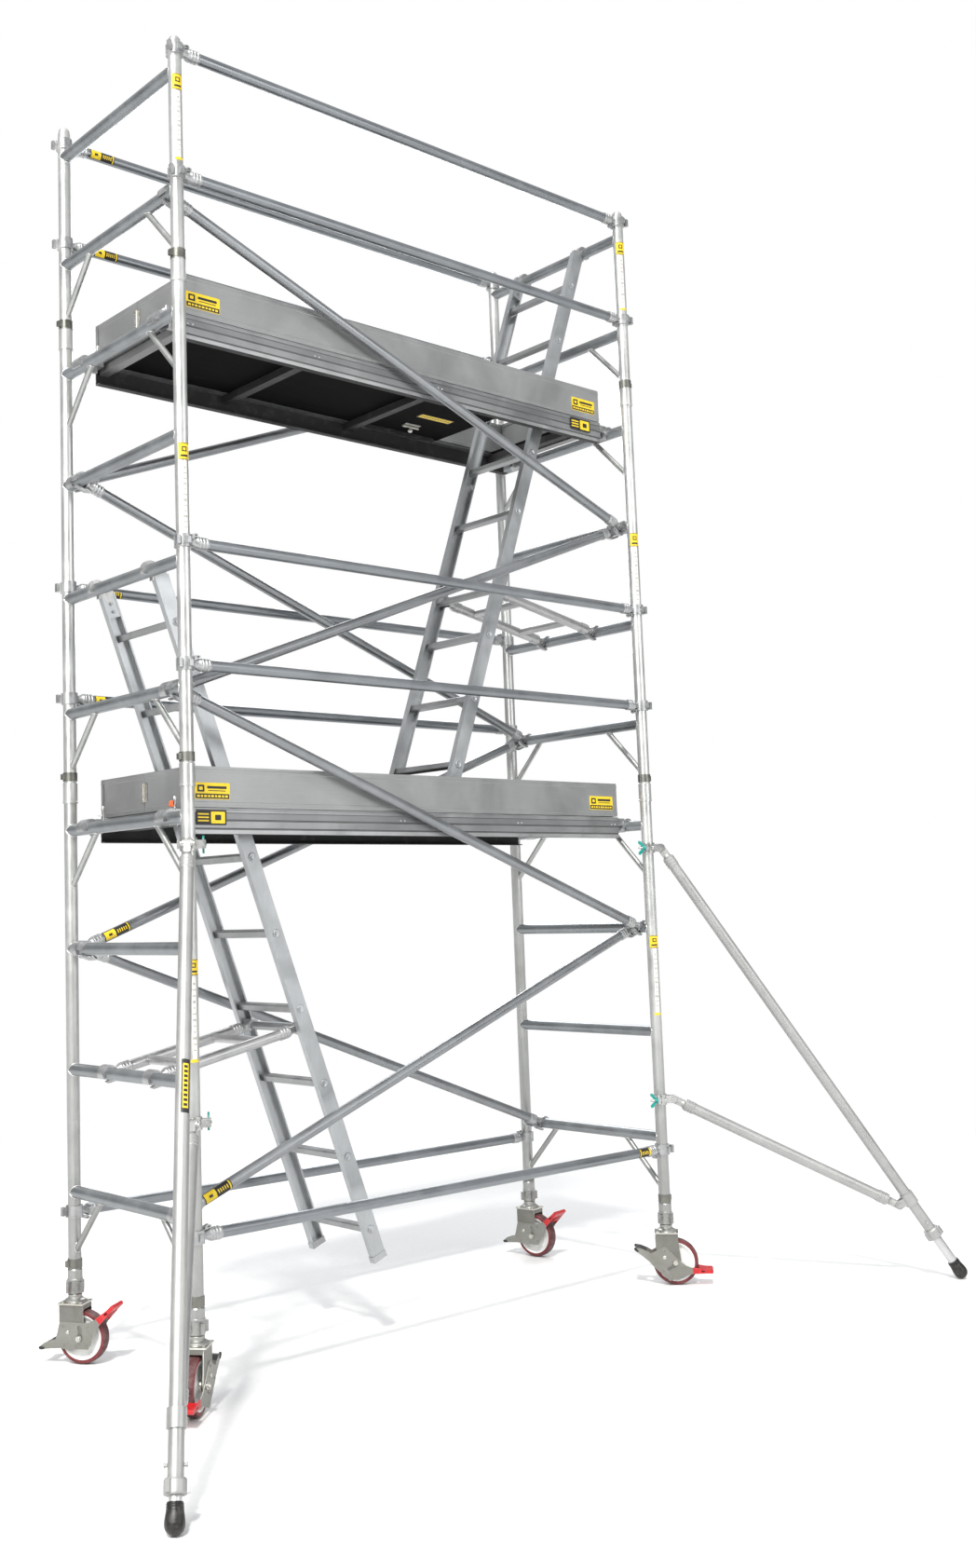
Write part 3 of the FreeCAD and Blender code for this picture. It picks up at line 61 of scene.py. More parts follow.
# name, x, y, heading in degrees, brake pressed
CASTORS = (
    ("front_left", -HALF_X, -HALF_Y, -140.0, True),
    ("back_left", -HALF_X, HALF_Y, -56.0, False),
    ("front_right", HALF_X, -HALF_Y, -50.0, True),
    ("back_right", HALF_X, HALF_Y, -80.0, False),
)
TRAIL, AXLE_Z = 0.035, 0.1
BRAKE_TURN = math.radians(44.0)
BRAKE_PIN = Matrix.Translation((-0.048, 0, 0.022))  # in the wheel's frame

EYE = Vector((-4.27332, -5.10902, 1.69622))  # camera place


def rung_z(k):
    return FIRST_RUNG_Z + RUNG_PITCH * (k - 1)


def castor_frames(x, y, heading, pressed):
    """Matrices of the swivel, the wheel and the brake pedal."""
    swivel = Matrix.Translation((x, y, 0)) @ Matrix.Rotation(math.radians(heading), 4, "Z")
    wheel = swivel @ Matrix.Translation((TRAIL, 0, AXLE_Z))
    rock = BRAKE_PIN @ Matrix.Rotation(BRAKE_TURN, 4, "Y") @ BRAKE_PIN.inverted()
    return swivel, wheel, wheel @ (rock if pressed else Matrix.Identity(4))


# ------------------------------------------------------------------ node kit
class Nodes:
    """Builds one node tree."""

    def __init__(self, tree, output_kind):
        self.tree = tree
        tree.nodes.clear()
        self.out = self.new(output_kind)

    def new(self, kind, **values):
        node = self.tree.nodes.new(kind)
        for key, value in values.items():
            setattr(node, key, value)
        return node

    def link(self, a, b):
        self.tree.links.new(a, b)

    def feed(self, socket, value):
        """Set a socket from a number or a colour, or link another socket to it."""
        if isinstance(value, (int, float)):
            socket.default_value = value
        elif isinstance(value, (tuple, list)):
            socket.default_value = (*value, 1)
        else:
            self.link(value, socket)

    def ramp(self, value, stops):
        """Colour ramp through (position, grey or colour) stops."""
        node = self.new("ShaderNodeValToRGB")
        elements = node.color_ramp.elements
        while len(elements) < len(stops):
            elements.new(0.5)
        for element, (position, colour) in zip(elements, stops):
            element.position = position
            if isinstance(colour, (int, float)):
                colour = (colour, colour, colour)
            element.color = (*colour, 1)
        self.link(value, node.inputs["Fac"])
        return node.outputs["Color"]

    def remap(self, value, source, target):
        node = self.new("ShaderNodeMapRange")
        node.inputs["From Min"].default_value, node.inputs["From Max"].default_value = source
        node.inputs["To Min"].default_value, node.inputs["To Max"].default_value = target
        self.link(value, node.inputs["Value"])
        return node.outputs["Result"]


class Surface(Nodes):
    """Node tree of one material, textured in object space."""

    def __init__(self, name):
        self.mat = bpy.data.materials.new(name)
        self.mat.use_nodes = True
        super().__init__(self.mat.node_tree, "ShaderNodeOutputMaterial")
        self.bsdf = self.new("ShaderNodeBsdfPrincipled")
        self.link(self.bsdf.outputs[0], self.out.inputs[0])
        self.coord = self.new("ShaderNodeTexCoord")

    def mapped(self, stretch=(1, 1, 1), shift=(0, 0, 0)):
        node = self.new("ShaderNodeMapping")
        node.inputs["Scale"].default_value = stretch
        node.inputs["Location"].default_value = shift
        self.link(self.coord.outputs["Object"], node.inputs["Vector"])
        return node.outputs["Vector"]

    def noise(self, scale, detail, rough, distortion=0.0, vector=None, **mapping):
        node = self.new("ShaderNodeTexNoise")
        node.inputs["Scale"].default_value = scale
        node.inputs["Detail"].default_value = detail
        node.inputs["Roughness"].default_value = rough
        node.inputs["Distortion"].default_value = distortion
        self.link(vector or self.mapped(**mapping), node.inputs["Vector"])
        return node.outputs["Fac"]

    def calc(self, operation, a, b=None, clamp=False):
        node = self.new("ShaderNodeMath", operation=operation, use_clamp=clamp)
        self.feed(node.inputs[0], a)
        if b is not None:
            self.feed(node.inputs[1], b)
        return node.outputs[0]

    def mix(self, factor, a, b, blend="MIX"):
        node = self.new("ShaderNodeMix", data_type="RGBA", blend_type=blend)
        node.clamp_result = True
        for index, value in ((0, factor), (6, a), (7, b)):
            self.feed(node.inputs[index], value)
        return node.outputs[2]

    def edges(self, radius):
        """Bright where the surface turns sharply: worn edges."""
        bevel = self.new("ShaderNodeBevel", samples=2)
        bevel.inputs["Radius"].default_value = radius
        geometry = self.new("ShaderNodeNewGeometry")
        dot = self.new("ShaderNodeVectorMath", operation="DOT_PRODUCT")
        self.link(bevel.outputs["Normal"], dot.inputs[0])
        self.link(geometry.outputs["Normal"], dot.inputs[1])
        return self.remap(dot.outputs["Value"], (0.9, 0.99), (1.0, 0.0))

    def cloudy_rough(self, cloud, low, high):
        return self.remap(cloud, (0.3, 0.7), (low, high))

    def finish(self, color, rough, metallic, bump, strength, distance, specular=None):
        inputs = self.bsdf.inputs
        self.feed(inputs["Base Color"], color)
        self.feed(inputs["Roughness"], rough)
        self.feed(inputs["Metallic"], metallic)
        if specular is not None:
            self.feed(inputs["Specular IOR Level"], specular)
        node = self.new("ShaderNodeBump")
        node.inputs["Strength"].default_value = strength
        node.inputs["Distance"].default_value = distance
        self.link(bump, node.inputs["Height"])
        self.link(node.outputs["Normal"], inputs["Normal"])
        return self.mat


def shade(colour, gain, lift=0.0):
    return tuple(min(1.0, c * gain + lift) for c in colour)


# ------------------------------------------------------------------ material recipes
def metal(name, base, rough, metallic, streak, blotch, vary, bump, dirt, ground=1.0,
          tint=(1.0, 1.0, 1.0)):
    """Drawn metal: long fine lines, dull cloudy patches, scuffs and a little grime."""
    net = Surface(name)
    fine = net.noise(scale=6.0, detail=5.0, rough=0.6, stretch=streak)
    finer = net.noise(scale=9.0, detail=2.0, rough=0.5, stretch=[s * 3.1 for s in streak])
    cloud = net.noise(scale=blotch, detail=5.0, rough=0.62, distortion=0.6)
    speck = net.noise(scale=55.0, detail=2.0, rough=0.5, shift=(3.1, 1.7, 0.4))
    scuff = net.new("ShaderNodeTexVoronoi", feature="DISTANCE_TO_EDGE")
    scuff.inputs["Scale"].default_value = 3.0
    scuff_map = net.mapped([max(2.0, s * 0.35) for s in streak], (0.3, 0.8, 0.1))
    net.link(scuff_map, scuff.inputs["Vector"])

    dull = tuple(c * t for c, t in zip(shade(base, 1 - vary), tint))
    col = net.ramp(cloud, [(0.33, dull), (0.52, base), (0.68, shade(base, 1 + vary))])
    lines = net.ramp(fine, [(0.3, 0.93), (0.5, 1.0), (0.72, 1.03)])
    col = net.mix(0.6, col, lines, "MULTIPLY")
    grime = net.noise(scale=17.0, detail=4.0, rough=0.6, shift=(7, 2, 5))
    grime = net.ramp(grime, [(0.55, 0.0), (0.74, 1.0)])
    col = net.mix(net.calc("MULTIPLY", grime, dirt), col, (0.16, 0.145, 0.125))
    marks = net.remap(scuff.outputs["Distance"], (0.0, 0.035), (1.0, 0.0))
    marks = net.calc("MULTIPLY", marks, net.remap(cloud, (0.5, 0.62), (0.0, 0.30)))
    col = net.mix(marks, col, shade(base, 1.2))
    if ground < 1.0:
        # darker towards the ground
        split = net.new("ShaderNodeSeparateXYZ")
        net.link(net.coord.outputs["Object"], split.inputs[0])
        fade = net.remap(split.outputs["Z"], (0.25, 1.9), (ground, 1.0))
        join = net.new("ShaderNodeCombineXYZ")
        for i, channel in enumerate((1.0, 1.0, 0.96)):
            net.link(net.calc("MULTIPLY", fade, channel), join.inputs[i])
        col = net.mix(1.0, col, join.outputs[0], "MULTIPLY")

    rough_map = net.cloudy_rough(cloud, rough - 0.09, rough + 0.13)
    grit = net.calc("MULTIPLY", net.calc("SUBTRACT", speck, 0.5), 0.07)
    rough_map = net.calc("ADD", rough_map, grit, clamp=True)
    height = net.calc("ADD", net.calc("MULTIPLY", fine, 0.4), net.calc("MULTIPLY", finer, 0.06))
    height = net.calc("ADD", height, net.calc("MULTIPLY", speck, 0.35))
    return net.finish(col, rough_map, metallic, height, strength=bump * 0.22, distance=0.0002)


def cast(name, base, rough):
    """Cast metal: fine grain, dark dirt and slightly brighter edges."""
    net = Surface(name)
    grain = net.noise(scale=420.0, detail=4.0, rough=0.65)
    cloud = net.noise(scale=30.0, detail=4.0, rough=0.6)
    dirt = net.noise(scale=60.0, detail=5.0, rough=0.7, shift=(2, 5, 1))
    dirt = net.ramp(dirt, [(0.5, 0.0), (0.72, 0.5)])
    col = net.ramp(cloud, [(0.3, shade(base, 0.78)), (0.55, base), (0.75, shade(base, 1.15))])
    col = net.mix(dirt, col, shade(base, 0.35))
    col = net.mix(net.calc("MULTIPLY", net.edges(radius=0.003), 0.4), col, shade(base, 1.25))
    rough_map = net.cloudy_rough(cloud, rough - 0.05, rough + 0.12)
    return net.finish(col, rough_map, metallic=0.9, bump=grain, strength=0.15, distance=0.0004)


def paint(name, base, rough):
    """Gloss paint, chipped to grey along the edges."""
    net = Surface(name)
    peel = net.noise(scale=260.0, detail=3.0, rough=0.5)
    cloud = net.noise(scale=34.0, detail=5.0, rough=0.65)
    patches = net.remap(cloud, (0.45, 0.62), (0.0, 1.0))
    wear = net.calc("MULTIPLY", net.edges(radius=0.0035), patches, clamp=True)
    stops = [(0.3, shade(base, 0.8)), (0.6, base), (0.8, shade(base, 1.12, lift=0.01))]
    col = net.ramp(cloud, stops)
    col = net.mix(net.calc("MULTIPLY", wear, 0.5), col, (0.35, 0.35, 0.36))
    rough_map = net.cloudy_rough(cloud, rough - 0.08, rough + 0.12)
    return net.finish(col, rough_map, metallic=0.0, bump=peel, strength=0.12, distance=0.0006,
                      specular=0.55)


def plastic(name, base, rough, vary=0.08, grain=0.1, dirt=0.2):
    net = Surface(name)
    fine = net.noise(scale=700.0, detail=3.0, rough=0.6)
    cloud = net.noise(scale=18.0, detail=4.0, rough=0.6)
    marks = net.noise(scale=48.0, detail=6.0, rough=0.72, shift=(4, 1, 9))
    marks = net.ramp(marks, [(0.54, 0.0), (0.74, 1.0)])
    col = net.ramp(cloud, [(0.3, shade(base, 1 - vary)), (0.7, shade(base, 1 + vary))])
    col = net.mix(net.calc("MULTIPLY", marks, dirt), col, (0.2, 0.18, 0.16))
    rough_map = net.cloudy_rough(cloud, rough - 0.06, rough + 0.1)
    return net.finish(col, rough_map, metallic=0.0, bump=fine, strength=grain, distance=0.0008)


def rubber(name, base, rough, dust=0.16):
    net = Surface(name)
    fine = net.noise(scale=900.0, detail=3.0, rough=0.65)
    dusty = net.noise(scale=42.0, detail=6.0, rough=0.72, shift=(1, 2, 8))
    dusty = net.ramp(dusty, [(0.45, 0.0), (0.72, 1.0)])
    cloud = net.noise(scale=22.0, detail=4.0, rough=0.55)
    col = net.ramp(cloud, [(0.3, shade(base, 0.8)), (0.7, shade(base, 1.15))])
    col = net.mix(net.calc("MULTIPLY", dusty, dust), col, (0.32, 0.28, 0.25))
    rough_map = net.cloudy_rough(cloud, rough - 0.1, rough + 0.12)
    return net.finish(col, rough_map, metallic=0.0, bump=fine, strength=0.25, distance=0.0012,
                      specular=0.4)


def ply_film(name):
    """Dark phenolic film with a fine pressed mesh, dust and rubbed streaks."""
    net = Surface(name)
    vector = net.mapped()
    waves = []
    for axis in "XY":
        wave = net.new("ShaderNodeTexWave", wave_type="BANDS", bands_direction=axis)
        wave.inputs["Scale"].default_value = 62.0
        wave.inputs["Distortion"].default_value = 0.2
        net.link(vector, wave.inputs["Vector"])
        waves.append(wave.outputs["Fac"])
    mesh = net.calc("MAXIMUM", *waves)
    cloud = net.noise(scale=5.0, detail=6.0, rough=0.65, distortion=0.4, vector=vector)
    rub = net.noise(scale=3.0, detail=5.0, rough=0.6, stretch=(2.0, 30.0, 8.0))
    col = net.ramp(cloud, [(0.3, (0.004, 0.004, 0.0042)), (0.6, (0.007, 0.0068, 0.0066)),
                           (0.8, (0.013, 0.012, 0.011))])
    col = net.mix(net.remap(rub, (0.56, 0.75), (0.0, 0.2)), col, (0.04, 0.037, 0.034))
    rough_map = net.cloudy_rough(cloud, 0.70, 0.86)
    return net.finish(col, rough_map, metallic=0.0, bump=mesh, strength=0.3, distance=0.0006,
                      specular=0.03)


def label(name, base, rough, fade):
    """Printed film with rubbed patches."""
    net = Surface(name)
    cloud = net.noise(scale=60.0, detail=5.0, rough=0.65)
    rub = net.noise(scale=140.0, detail=6.0, rough=0.75, shift=(5, 5, 2))
    rub = net.ramp(rub, [(0.6, 0.0), (0.75, 1.0)])
    col = net.ramp(cloud, [(0.3, shade(base, 0.84)), (0.7, base)])
    col = net.mix(net.calc("MULTIPLY", rub, fade), col, (0.55, 0.54, 0.5))
    rough_map = net.cloudy_rough(cloud, rough - 0.06, rough + 0.12)
    return net.finish(col, rough_map, metallic=0.0, bump=cloud, strength=0.05, distance=0.0004)


# ------------------------------------------------------------------ materials
# name, colour, roughness, metallic, streak stretch, cloud scale, colour variation, bump, dirt
METALS = (
    ("alloy_post", (0.61, 0.62, 0.63), 0.36, 0.80, (70, 70, 1.6), 5.0, 0.10, 0.10, 0.10),
    ("alloy_rung", (0.285, 0.30, 0.31), 0.38, 0.85, (60, 2.0, 60), 7.0, 0.16, 0.16, 0.16),
    ("alloy_gusset", (0.43, 0.44, 0.445), 0.38, 0.8, (12, 8, 8), 8.0, 0.12, 0.06, 0.12),
    ("alloy_rail", (0.25, 0.265, 0.28), 0.36, 0.88, (1.8, 70, 70), 4.0, 0.12, 0.10, 0.12),
    ("alloy_diagonal", (0.275, 0.285, 0.295), 0.36, 0.88, (5.0, 16.0, 5.0), 4.0, 0.12, 0.06, 0.10),
    ("alloy_stay", (0.44, 0.44, 0.445), 0.36, 0.85, (4, 14, 14), 7.0, 0.12, 0.06, 0.10),
    ("spring_clip", (0.20, 0.20, 0.18), 0.36, 0.85, (90, 90, 90), 18.0, 0.2, 0.1, 0.2),
    ("alloy_stile", (0.44, 0.455, 0.465), 0.38, 0.82, (14, 60, 1.2), 5.0, 0.10, 0.08, 0.08),
    ("alloy_step", (0.34, 0.345, 0.35), 0.38, 0.85, (60, 1.6, 60), 8.0, 0.14, 0.12, 0.14),
    ("alloy_deck_rail", (0.33, 0.335, 0.34), 0.36, 0.85, (1.2, 60, 60), 4.0, 0.14, 0.1, 0.14),
    # near black: painted shade for the bars under the deck boards and trapdoors
    ("alloy_crossbar_shade", (0.026, 0.026, 0.027), 0.6, 0.25, (60, 1.6, 60), 7.0, 0.14, 0.08, 0.2),
    ("alloy_toe", (0.33, 0.335, 0.335), 0.42, 0.72, (0.9, 60, 60), 3.0, 0.09, 0.08, 0.10),
    ("alloy_toe_end", (0.34, 0.345, 0.345), 0.42, 0.72, (60, 0.9, 60), 3.0, 0.09, 0.08, 0.10),
    ("zinc_steel", (0.58, 0.57, 0.53), 0.32, 0.92, (80, 80, 80), 16.0, 0.15, 0.08, 0.12),
    ("zinc_fork", (0.215, 0.213, 0.195), 0.42, 0.78, (30, 30, 80), 12.0, 0.14, 0.08, 0.14),
    ("bright_steel", (0.55, 0.55, 0.54), 0.28, 0.92, (90, 90, 90), 14.0, 0.1, 0.05, 0.1),
    ("zinc_screw", (0.37, 0.37, 0.35), 0.38, 0.85, (90, 90, 90), 14.0, 0.12, 0.08, 0.16),
    ("alloy_leg", (0.60, 0.605, 0.60), 0.38, 0.8, (70, 70, 3), 7.0, 0.10, 0.08, 0.1),
    ("alloy_in_shade", (0.018, 0.0185, 0.019), 0.65, 0.2, (1.2, 60, 60), 5.0, 0.2, 0.05, 0.2),
    ("alloy_end_beam", (0.22, 0.22, 0.22), 0.42, 0.7, (60, 1.2, 60), 6.0, 0.14, 0.06, 0.14),
    ("alloy_outrigger", (0.40, 0.405, 0.395), 0.46, 0.66, (6, 6, 4.0), 5.0, 0.07, 0.04, 0.07),
    # painted shade for the grooves and the recess of the deck side rails
    ("alloy_groove_shade", (0.12, 0.122, 0.125), 0.5, 0.5, (1.2, 30, 30), 5.0, 0.2, 0.05, 0.2),
    ("alloy_recess_shade", (0.255, 0.26, 0.265), 0.4, 0.8, (1.0, 50, 50), 4.0, 0.12, 0.05, 0.12),
    # painted light: the lit lip line of the deck side rails, and a painted sunlit patch inside the
    # rail near the hatch
    ("alloy_painted_light", (0.43, 0.435, 0.44), 0.36, 0.8, (1.0, 50, 50), 5.0, 0.12, 0.05, 0.10),
    # painted highlight for the edge faces of the castor forks and brake pedals
    ("zinc_edge_highlight", (0.66, 0.655, 0.62), 0.34, 0.7, (30, 30, 30), 14.0, 0.1, 0.05, 0.1),
    ("zinc_lever", (0.275, 0.275, 0.252), 0.40, 0.76, (20, 20, 20), 9.0, 0.12, 0.06, 0.12),
)
# brightness near the ground, and tint of the dull patches
METAL_EXTRAS = {
    "alloy_post": {"ground": 0.56},
    "alloy_gusset": {"ground": 0.7},
    "zinc_steel": {"tint": (1.0, 0.97, 0.9)},
    "zinc_fork": {"tint": (1.0, 0.98, 0.92)},
    "zinc_edge_highlight": {"tint": (1.0, 0.98, 0.93)},
    "zinc_lever": {"tint": (1.0, 0.98, 0.93)},
}
MATERIALS = {row[0]: metal(*row, **METAL_EXTRAS.get(row[0], {})) for row in METALS}
for made in (
    cast("alloy_casting", (0.46, 0.465, 0.47), rough=0.40),
    cast("alloy_nut", (0.36, 0.362, 0.35), rough=0.44),
    cast("alloy_hook_plate", (0.50, 0.50, 0.49), rough=0.38),
    cast("weld_bead", (0.72, 0.72, 0.71), rough=0.34),
    ply_film("ply_film"),
    paint("red_paint", (0.52, 0.010, 0.014), rough=0.34),
    paint("teal_paint", (0.0, 0.26, 0.22), rough=0.36),
    plastic("orange_plastic", (0.80, 0.13, 0.03), rough=0.42),
    plastic("white_hub", (0.80, 0.80, 0.785), rough=0.36, vary=0.04, grain=0.06, dirt=0.12),
    plastic("black_plastic", (0.02, 0.02, 0.02), rough=0.5),
    rubber("tyre_side", (0.16, 0.022, 0.026), rough=0.42),
    rubber("tyre_tread", (0.085, 0.026, 0.028), rough=0.6, dust=0.35),
    rubber("black_rubber", (0.010, 0.010, 0.010), rough=0.36),
    label("label_yellow", (0.84, 0.60, 0.02), rough=0.45, fade=0.2),
    label("label_black", (0.015, 0.014, 0.013), rough=0.45, fade=0.2),
    label("label_white", (0.74, 0.73, 0.69), rough=0.5, fade=0.1),
    label("label_ink", (0.42, 0.41, 0.38), rough=0.5, fade=0.1),
):
    # keyed by the recipe's name even if Blender has added a suffix
    MATERIALS[made.name.split(".")[0]] = made


# ------------------------------------------------------------------ painting the CAD nodes
def paint_node(name, *materials, pick=None):
    """Give a CAD node its materials; pick(centre, normal) names the one a face takes."""
    mesh = NODES[name].data
    mesh.materials.clear()
    for key in materials:
        mesh.materials.append(MATERIALS[key])
    for face in mesh.polygons:
        key = pick(face.center - OFF, face.normal) if pick else materials[0]
        face.material_index = materials.index(key)


def pick_frame(c, n):
    """End frames: posts, rungs, and the gusset struts that are left."""
    dx = abs(c.x) - HALF_X
    if math.hypot(dx, abs(c.y) - HALF_Y) < 0.0318:
        return "alloy_post"
    if any(math.hypot(dx, c.z - rung_z(k)) < 0.0246 for k in range(1, RUNG_COUNT + 1)):
        return "alloy_rung"
    return "alloy_gusset"


def ladder_pick(side, k):
    def pick(c, n):
        if math.hypot(c.x - side * HALF_X, c.z - rung_z(k)) < 0.072:
            return "alloy_hook_plate"
        return "alloy_stile" if abs(c.y) > 0.1865 else "alloy_step"
    return pick


def deck_pick(z0, hatch_side):
    """Side rails are bright outside, with painted shade on their inner faces and flange undersides
    and a painted sunlit patch near the hatch; bars under the boards are dark, the crossbars with
    painted shade.
    """
    def pick(c, n):
        half_y = abs(c.y)
        outward = n.y * c.y
        if c.z > z0 + 0.0402:
            return "zinc_steel"
        if abs(c.x) > 1.172:
            return "alloy_casting"
        # bars under the boards are dark; the crossbars take a painted shade
        if half_y <= 0.3 and z0 - 0.0105 <= c.z <= z0 + 0.0225:
            return "alloy_end_beam" if abs(c.x) > 1.11 else "alloy_crossbar_shade"
        # inner faces of the side rails: painted shade
        if outward < -0.2 * half_y and half_y > 0.3 and c.z < z0 + 0.0225:
            # towards the hatch end these faces take a painted sunlit patch instead
            return "alloy_painted_light" if c.x * hatch_side > 0.69 else "alloy_in_shade"
        # undersides of the flanges: painted shade
        if n.z < -0.5 and c.z < z0 - 0.05:
            return "alloy_in_shade"
        if outward > 0 and half_y > 0.327:
            # bands up the rail's outer face: painted shade in the grooves and the recess, a
            # painted highlight on the lip
            rise = c.z - z0
            top_step = 0.0218 < rise < 0.0246 and abs(n.z) > 0.2
            if -0.0403 < rise < -0.032 or -0.0083 < rise < -0.0002 or top_step:
                return "alloy_groove_shade"
            if -0.0003 < rise < 0.0225:
                return "alloy_recess_shade"
            if rise < -0.0395:
                return "alloy_painted_light"
        return "alloy_deck_rail"
    return pick


def trapdoor_pick(z0):
    def pick(c, n):
        below = c.z < z0 + 0.0249
        if c.z > z0 + 0.0371 or (below and abs(c.y) < 0.2):
            return "zinc_steel"
        # bars under the trapdoor: painted shade
        return "alloy_crossbar_shade" if below else "ply_film"
    return pick


def pick_toe_board(c, n):
    if abs(c.x) > 1.1694:
        return "zinc_steel"
    return "alloy_toe_end" if abs(c.x) > 1.14 and abs(c.y) < 0.305 else "alloy_toe"


def local_pick(matrix, rule):
    """Apply a rule in a part's own frame."""
    inverse = matrix.inverted()
    turn = inverse.to_3x3()
    return lambda c, n: rule(inverse @ c, turn @ n)


def fork_rule(c, n):
    if abs(c.y) > 0.03802 or c.z > 0.1302:
        return "zinc_steel"
    # edge faces of the cheeks and the crown take a painted highlight
    cheek_edge = abs(n.y) < 0.3 and abs(c.y) > 0.0345
    crown_edge = c.z > 0.1235 and abs(n.z) < 0.9
    return "zinc_edge_highlight" if cheek_edge or crown_edge else "zinc_fork"


def hub_rule(c, n):
    return "zinc_steel" if math.hypot(c.x, c.z) < 0.0225 else "white_hub"


def tyre_rule(c, n):
    return "tyre_tread" if math.hypot(c.x, c.z) > 0.0965 else "tyre_side"


def pedal_rule(c, n):
    if c.x * 0.757 + c.z * 0.653 > 0.1302:
        return "red_paint"
    edge = abs(n.y) < 0.3
    if edge and c.x < -0.124 and c.z > -0.036:
        return "black_plastic"
    # upper edge faces take a painted highlight
    return "zinc_edge_highlight" if edge and c.z > 0.0 else "zinc_lever"


for side in ("left", "right"):
    for part in ("base", "middle", "guard"):
        paint_node(f"{part}_frame_{side}", "alloy_post", "alloy_rung", "alloy_gusset",
                   pick=pick_frame)
paint_node("frame_lock_clips", "spring_clip")
paint_node("horizontal_rails", "alloy_rail")
paint_node("diagonal_braces", "alloy_diagonal")
paint_node("brace_hooks", "alloy_casting")

for level, sx, k in LADDERS:
    paint_node(level + "_ladder", "alloy_stile", "alloy_step", "alloy_hook_plate",
               pick=ladder_pick(sx, k))
    paint_node(level + "_ladder_stabiliser", "alloy_stay")

for level, k, hatch_side in DECKS:
    z0 = rung_z(k)
    paint_node(level + "_deck_frame", "alloy_deck_rail", "alloy_crossbar_shade", "alloy_casting",
               "zinc_steel", "alloy_in_shade", "alloy_end_beam", "alloy_groove_shade", "alloy_recess_shade",
               "alloy_painted_light", pick=deck_pick(z0, hatch_side))
    paint_node(level + "_deck_board", "ply_film")
    paint_node(level + "_trapdoor", "ply_film", "alloy_crossbar_shade", "zinc_steel",
               pick=trapdoor_pick(z0))
    paint_node(level + "_toe_boards", "alloy_toe", "alloy_toe_end", "zinc_steel",
               pick=pick_toe_board)

for name, *pose in CASTORS:
    swivel, wheel, pedal = castor_frames(*pose)
    paint_node("leg_screw_" + name, "zinc_screw")
    paint_node("leg_nut_" + name, "alloy_nut")
    paint_node("castor_fork_" + name, "zinc_fork", "zinc_steel", "zinc_edge_highlight",
               pick=local_pick(wheel, fork_rule))
    paint_node("wheel_hub_" + name, "white_hub", "zinc_steel", pick=local_pick(wheel, hub_rule))
    paint_node("tyre_" + name, "tyre_side", "tyre_tread", pick=local_pick(wheel, tyre_rule))
    paint_node("brake_pedal_" + name, "zinc_lever", "red_paint", "black_plastic", "zinc_edge_highlight",
               pick=local_pick(pedal, pedal_rule))

for side in ("left", "right"):
    for part, key in (("clamps", "bright_steel"), ("arm", "alloy_outrigger"),
                      ("strut", "alloy_outrigger"), ("leg", "alloy_leg"),
                      ("foot", "black_rubber")):
        paint_node(f"outrigger_{part}_{side}", key)
    for height in ("upper", "lower"):
        paint_node(f"wing_nut_{side}_{height}", "teal_paint")


# ------------------------------------------------------------------ mesh kit
class Soup:
    """Collects several closed shells into one mesh."""

    def __init__(self):
        self.verts, self.faces, self.slots = [], [], []

    def add(self, shell, slot=0):
        verts, faces = shell
        first = len(self.verts)
        self.verts += [Vector(v) for v in verts]
        self.faces += [tuple(first + k for k in face) for face in faces]
        self.slots += [slot] * len(faces)

    def make(self, name, materials, body, product_slot=None, smooth=True):
        mesh = bpy.data.meshes.new(name)
        mesh.from_pydata([tuple(v + OFF) for v in self.verts], [], self.faces)
        bm = bmesh.new()
        bm.from_mesh(mesh)
        bmesh.ops.recalc_face_normals(bm, faces=bm.faces)
        bm.to_mesh(mesh)
        bm.free()
        for key in materials:
            mesh.materials.append(MATERIALS[key])
        for face, slot in zip(mesh.polygons, self.slots):
            face.use_smooth = smooth
            face.material_index = slot
        obj = bpy.data.objects.new(name, mesh)
        scene.collection.objects.link(obj)
        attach(obj, body)
        return obj


def bevelled(obj, width):
    mod = obj.modifiers.new("soft_edges", "BEVEL")
    mod.width = width
    mod.segments = 2
    mod.limit_method = "ANGLE"
    mod.angle_limit = math.radians(40)
    mod.harden_normals = False


def basis(axis):
    axis = Vector(axis).normalized()
    ref = Vector((0, 0, 1)) if abs(axis.z) < 0.9 else Vector((1, 0, 0))
    u = axis.cross(ref).normalized()
    return axis, u, axis.cross(u).normalized()


def turns(count):
    """Angles evenly spaced round a full turn."""
    return [2 * math.pi * i / count for i in range(count)]


def circle(centre, u, w, radius, count):
    return [centre + (u * math.cos(q) + w * math.sin(q)) * radius for q in turns(count)]


def ring(points, radii, segments):
    """A tube along a closed path, with one radius per point."""
    count = len(points)
    verts, faces = [], []
    for i, (point, radius) in enumerate(zip(points, radii)):
        _, u, w = basis(points[(i + 1) % count] - points[i - 1])
        verts += [point + u * (radius * math.cos(q)) + w * (radius * math.sin(q))
                  for q in turns(segments)]
    for i in range(count):
        a, b = i * segments, (i + 1) % count * segments
        for k in range(segments):
            m = (k + 1) % segments
            faces.append((a + k, a + m, b + m, b + k))
    return verts, faces


